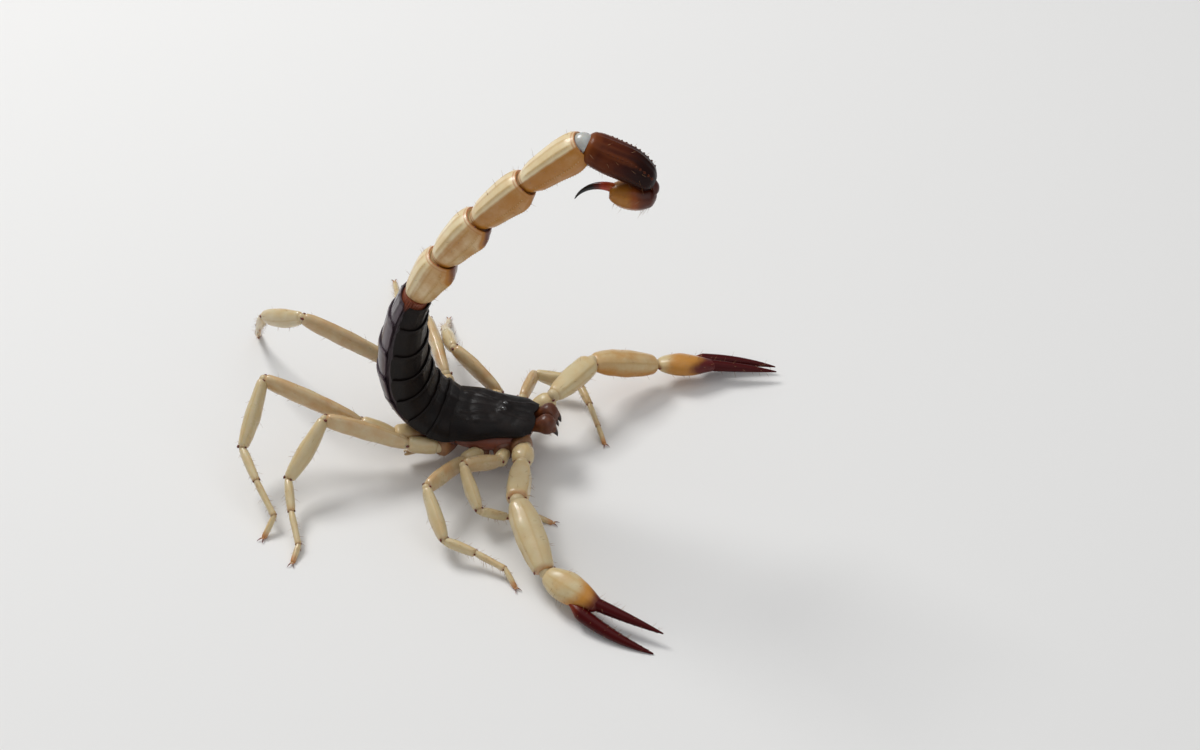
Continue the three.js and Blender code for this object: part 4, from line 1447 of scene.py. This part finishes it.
def buildSkin():
    bm = newMesh()
    addTube(bm, skin["corners"], [-0.2] + evenly(0, 7, skin["steps"]) + [7.12], trunkSurface,
            tone=lambda s, angle: 0.5 * smoothStep(6.5, 6.95, s) + 0.3 * smoothStep(0.5, 0, s))
    for middle, size in skin["under"]:
        addBall(bm, Matrix.Translation(middle), size, tone=0.4)
    for n, (ring, spot) in enumerate(zip(tailRings[:4], tailJoints)):
        heading = (ring["heading"] + tailRings[max(n - 1, 0)]["heading"]) / 2
        size = (1.0, ring["wide"] * skin["tailShare"], ring["top"] * skin["tailShare"])
        addBall(bm, spineFrame(spot.x, spot.z, heading), size, tone=1 if n else 0.45)
    for pose in palpPoses.values():
        for radius, place in zip(skin["palpBalls"], palpPlaces(pose)):
            addBall(bm, place, (radius * 0.9, radius, radius), tone=1)
    for name, k, leg, yaws, pitches, joints in eachLeg():
        for i, radius in enumerate(skin["legBalls"]):
            size = radius * leg["thick"]
            place = frameAt(joints[i], yaws[min(i, 4)], pitches[min(i, 4)])
            addBall(bm, place, (size, size * 0.9, size), tone=1)
    finishPiece(bm, "soft_skin", "softSkin")
    # the hinge ball at the start of the last tail ring, pale and painted bluish white as a highlight
    bm = newMesh()
    addBall(bm, spineFrame(tailJoints[4].x, tailJoints[4].z, 5), [skin["hingeBall"]] * 3)
    finishPiece(bm, "tail_hinge", "paleMembraneSheen")


buildSkin()
print("Skin made")


# dark hinge knobs on both sides of each joint: how far out and up they sit, and their radius
knobs = {
    "leg": [(0.76, 0.2, 0.22), (0.52, 0.3, 0.24), (0.52, 0.3, 0.23), (0.44, 0.15, 0.15), (0.36, 0.1, 0.11)],
    "palpAndTail": {"out": 0.72, "radius": 0.2},
}


def knobPair(place, x, y, z, radius):
    size = (radius * 1.25, radius * 0.7, radius)
    return [(place @ Matrix.Translation((x, side * y, z)), size, {}) for side in sides.values()]


def buildKnobs():
    bm = newMesh()
    pairs = []
    out, radius = knobs["palpAndTail"]["out"], knobs["palpAndTail"]["radius"]
    for pose in palpPoses.values():
        sizes = list(palpSizes.values())[:3]
        for size, place in zip(sizes, palpPlaces(pose)):
            pairs += knobPair(place, size["length"] - 0.2, size["wide"] * out, 0.2, radius)
    for name, k, leg, yaws, pitches, joints in eachLeg():
        for i, (wide, high, legRadius) in enumerate(knobs["leg"]):
            place = frameAt(joints[i], yaws[i], pitches[i])
            y, z = wide * leg["thick"], high * leg["thick"]
            pairs += knobPair(place, leg["lengths"][i] - 0.1, y, z, legRadius)
    for ring, spot in zip(tailRings[:4], tailJoints):
        place = spineFrame(spot.x, spot.z, ring["heading"])
        pairs += knobPair(place, ring["length"] - 0.12, ring["wide"] * out, -0.1, radius)
    joinSmall(bm, pairs, makeBead)
    finishPiece(bm, "hinge_knobs", "condyle")


buildKnobs()
print("Hinge knobs made")


bristle = {"thick": 0.026, "tip": 0.006, "patch": 0.003}


def hairMesh():
    bm = bmesh.new()
    bm.loops.layers.uv.new("OFBake")
    return bm


def makeHair(bm, hair):
    root, heading, length, (across, up) = hair
    turn = heading.to_track_quat("Z", "Y").to_matrix().to_4x4()
    place = Matrix.Translation(root + heading * length / 2) @ turn
    made = bmesh.ops.create_cone(bm, cap_ends=False, segments=3, radius1=bristle["thick"],
                                 radius2=bristle["tip"], depth=length, matrix=place)
    uvLayer = bm.loops.layers.uv["OFBake"]
    for face in {f for v in made["verts"] for f in v.link_faces}:
        for loop in face.loops:
            arm = loop.vert.co - root
            rise = arm.dot(heading) / length
            around = 0.5 + 0.5 * arm.dot(turn.col[0].to_3d()) / bristle["thick"]
            loop[uvLayer].uv = (across + bristle["patch"] * rise, up + bristle["patch"] * min(around, 1))


def buildHairs():
    # each hair's patch lies at its root's place on an unwrap that lays the limbs side by side
    placed = []
    for n, (root, heading, length, (along, around)) in enumerate(hairs):
        row = n / len(hairs)
        spot = (0.01 + 0.97 * along, 0.01 + 0.94 * row + 0.03 * (around % 1))
        placed.append((root, heading, length, spot))
    bm = hairMesh()
    joinSmall(bm, placed, makeHair, hairMesh)
    finishPiece(bm, "bristles", "bristle", sharp=180)


buildHairs()
print("Bristles made:", len(hairs))


stage = {"size": 3.0, "colour": (0.80, 0.79, 0.77, 1), "cloudScale": 9.0, "smoothest": 0.86, "roughest": 0.94}
lights = [
    {"name": "key", "from": (-0.35, 0.28, 0.55), "size": 0.24, "power": 3.05},
    {"name": "fill", "from": (0.45, -0.5, 0.45), "size": 0.7, "power": 0.95},
    {"name": "top", "from": (0.05, 0.05, 0.8), "size": 0.8, "power": 1.4},
]
world = {"colour": (0.92, 0.95, 1, 1), "strength": 0.31}
camera = {
    "azimuth": 8,
    "elevation": 40,
    "lens": 60,
    "sensor": 36,
    "distance": 266.7,
    "aim": (16.27, 8.78, 7.66),
}


def buildStage():
    bm = bmesh.new()
    bmesh.ops.create_grid(bm, x_segments=1, y_segments=1, size=stage["size"] / 2)
    mesh = bpy.data.meshes.new("floor")
    bm.to_mesh(mesh)
    bm.free()
    floor = addObject("floor", mesh)
    material = bpy.data.materials.new("paleFloor")
    material.use_nodes = True
    tree = material.node_tree
    shader = tree.nodes["Principled BSDF"]
    place = addNode(tree, "ShaderNodeTexCoord").outputs["Object"]
    cloud = addNode(tree, "ShaderNodeTexNoise", values={"Scale": stage["cloudScale"], "Detail": 3},
                    links={"Vector": place})
    limits = {"To Min": stage["smoothest"], "To Max": stage["roughest"]}
    ramp = addNode(tree, "ShaderNodeMapRange", values=limits, links={"Value": cloud.outputs["Fac"]})
    tree.links.new(ramp.outputs[0], shader.inputs["Roughness"])
    shader.inputs["Base Color"].default_value = stage["colour"]
    mesh.materials.append(material)


def buildLights():
    middle = drawingOrigin + Vector((5, 0, 15)) * mm
    for light in lights:
        lamp = bpy.data.lights.new(light["name"], "AREA")
        lamp.energy = light["power"]
        lamp.size = light["size"]
        holder = addObject(light["name"], lamp)
        spot = Vector(light["from"])
        holder.location = spot
        holder.rotation_euler = (spot - middle).to_track_quat("Z", "Y").to_euler()
    studio = bpy.data.worlds.new("studio")
    bpy.context.scene.world = studio
    studio.use_nodes = True
    background = studio.node_tree.nodes["Background"]
    background.inputs["Color"].default_value = world["colour"]
    background.inputs["Strength"].default_value = world["strength"]


def buildCamera():
    view = bpy.data.cameras.new("view")
    view.lens = camera["lens"]
    view.sensor_width = camera["sensor"]
    view.clip_start = 0.01
    holder = addObject("view", view)
    a, e = radians(camera["azimuth"]), radians(camera["elevation"])
    away = Vector((sin(a) * cos(e), -cos(a) * cos(e), sin(e)))
    holder.location = toFrame @ (Vector(camera["aim"]) + away * camera["distance"])
    holder.rotation_euler = (pi / 2 - e, 0, a)
    bpy.context.scene.camera = holder


buildStage()
buildLights()
buildCamera()
bpy.context.scene.view_settings.view_transform = "Standard"
print("Stage, light and camera made")
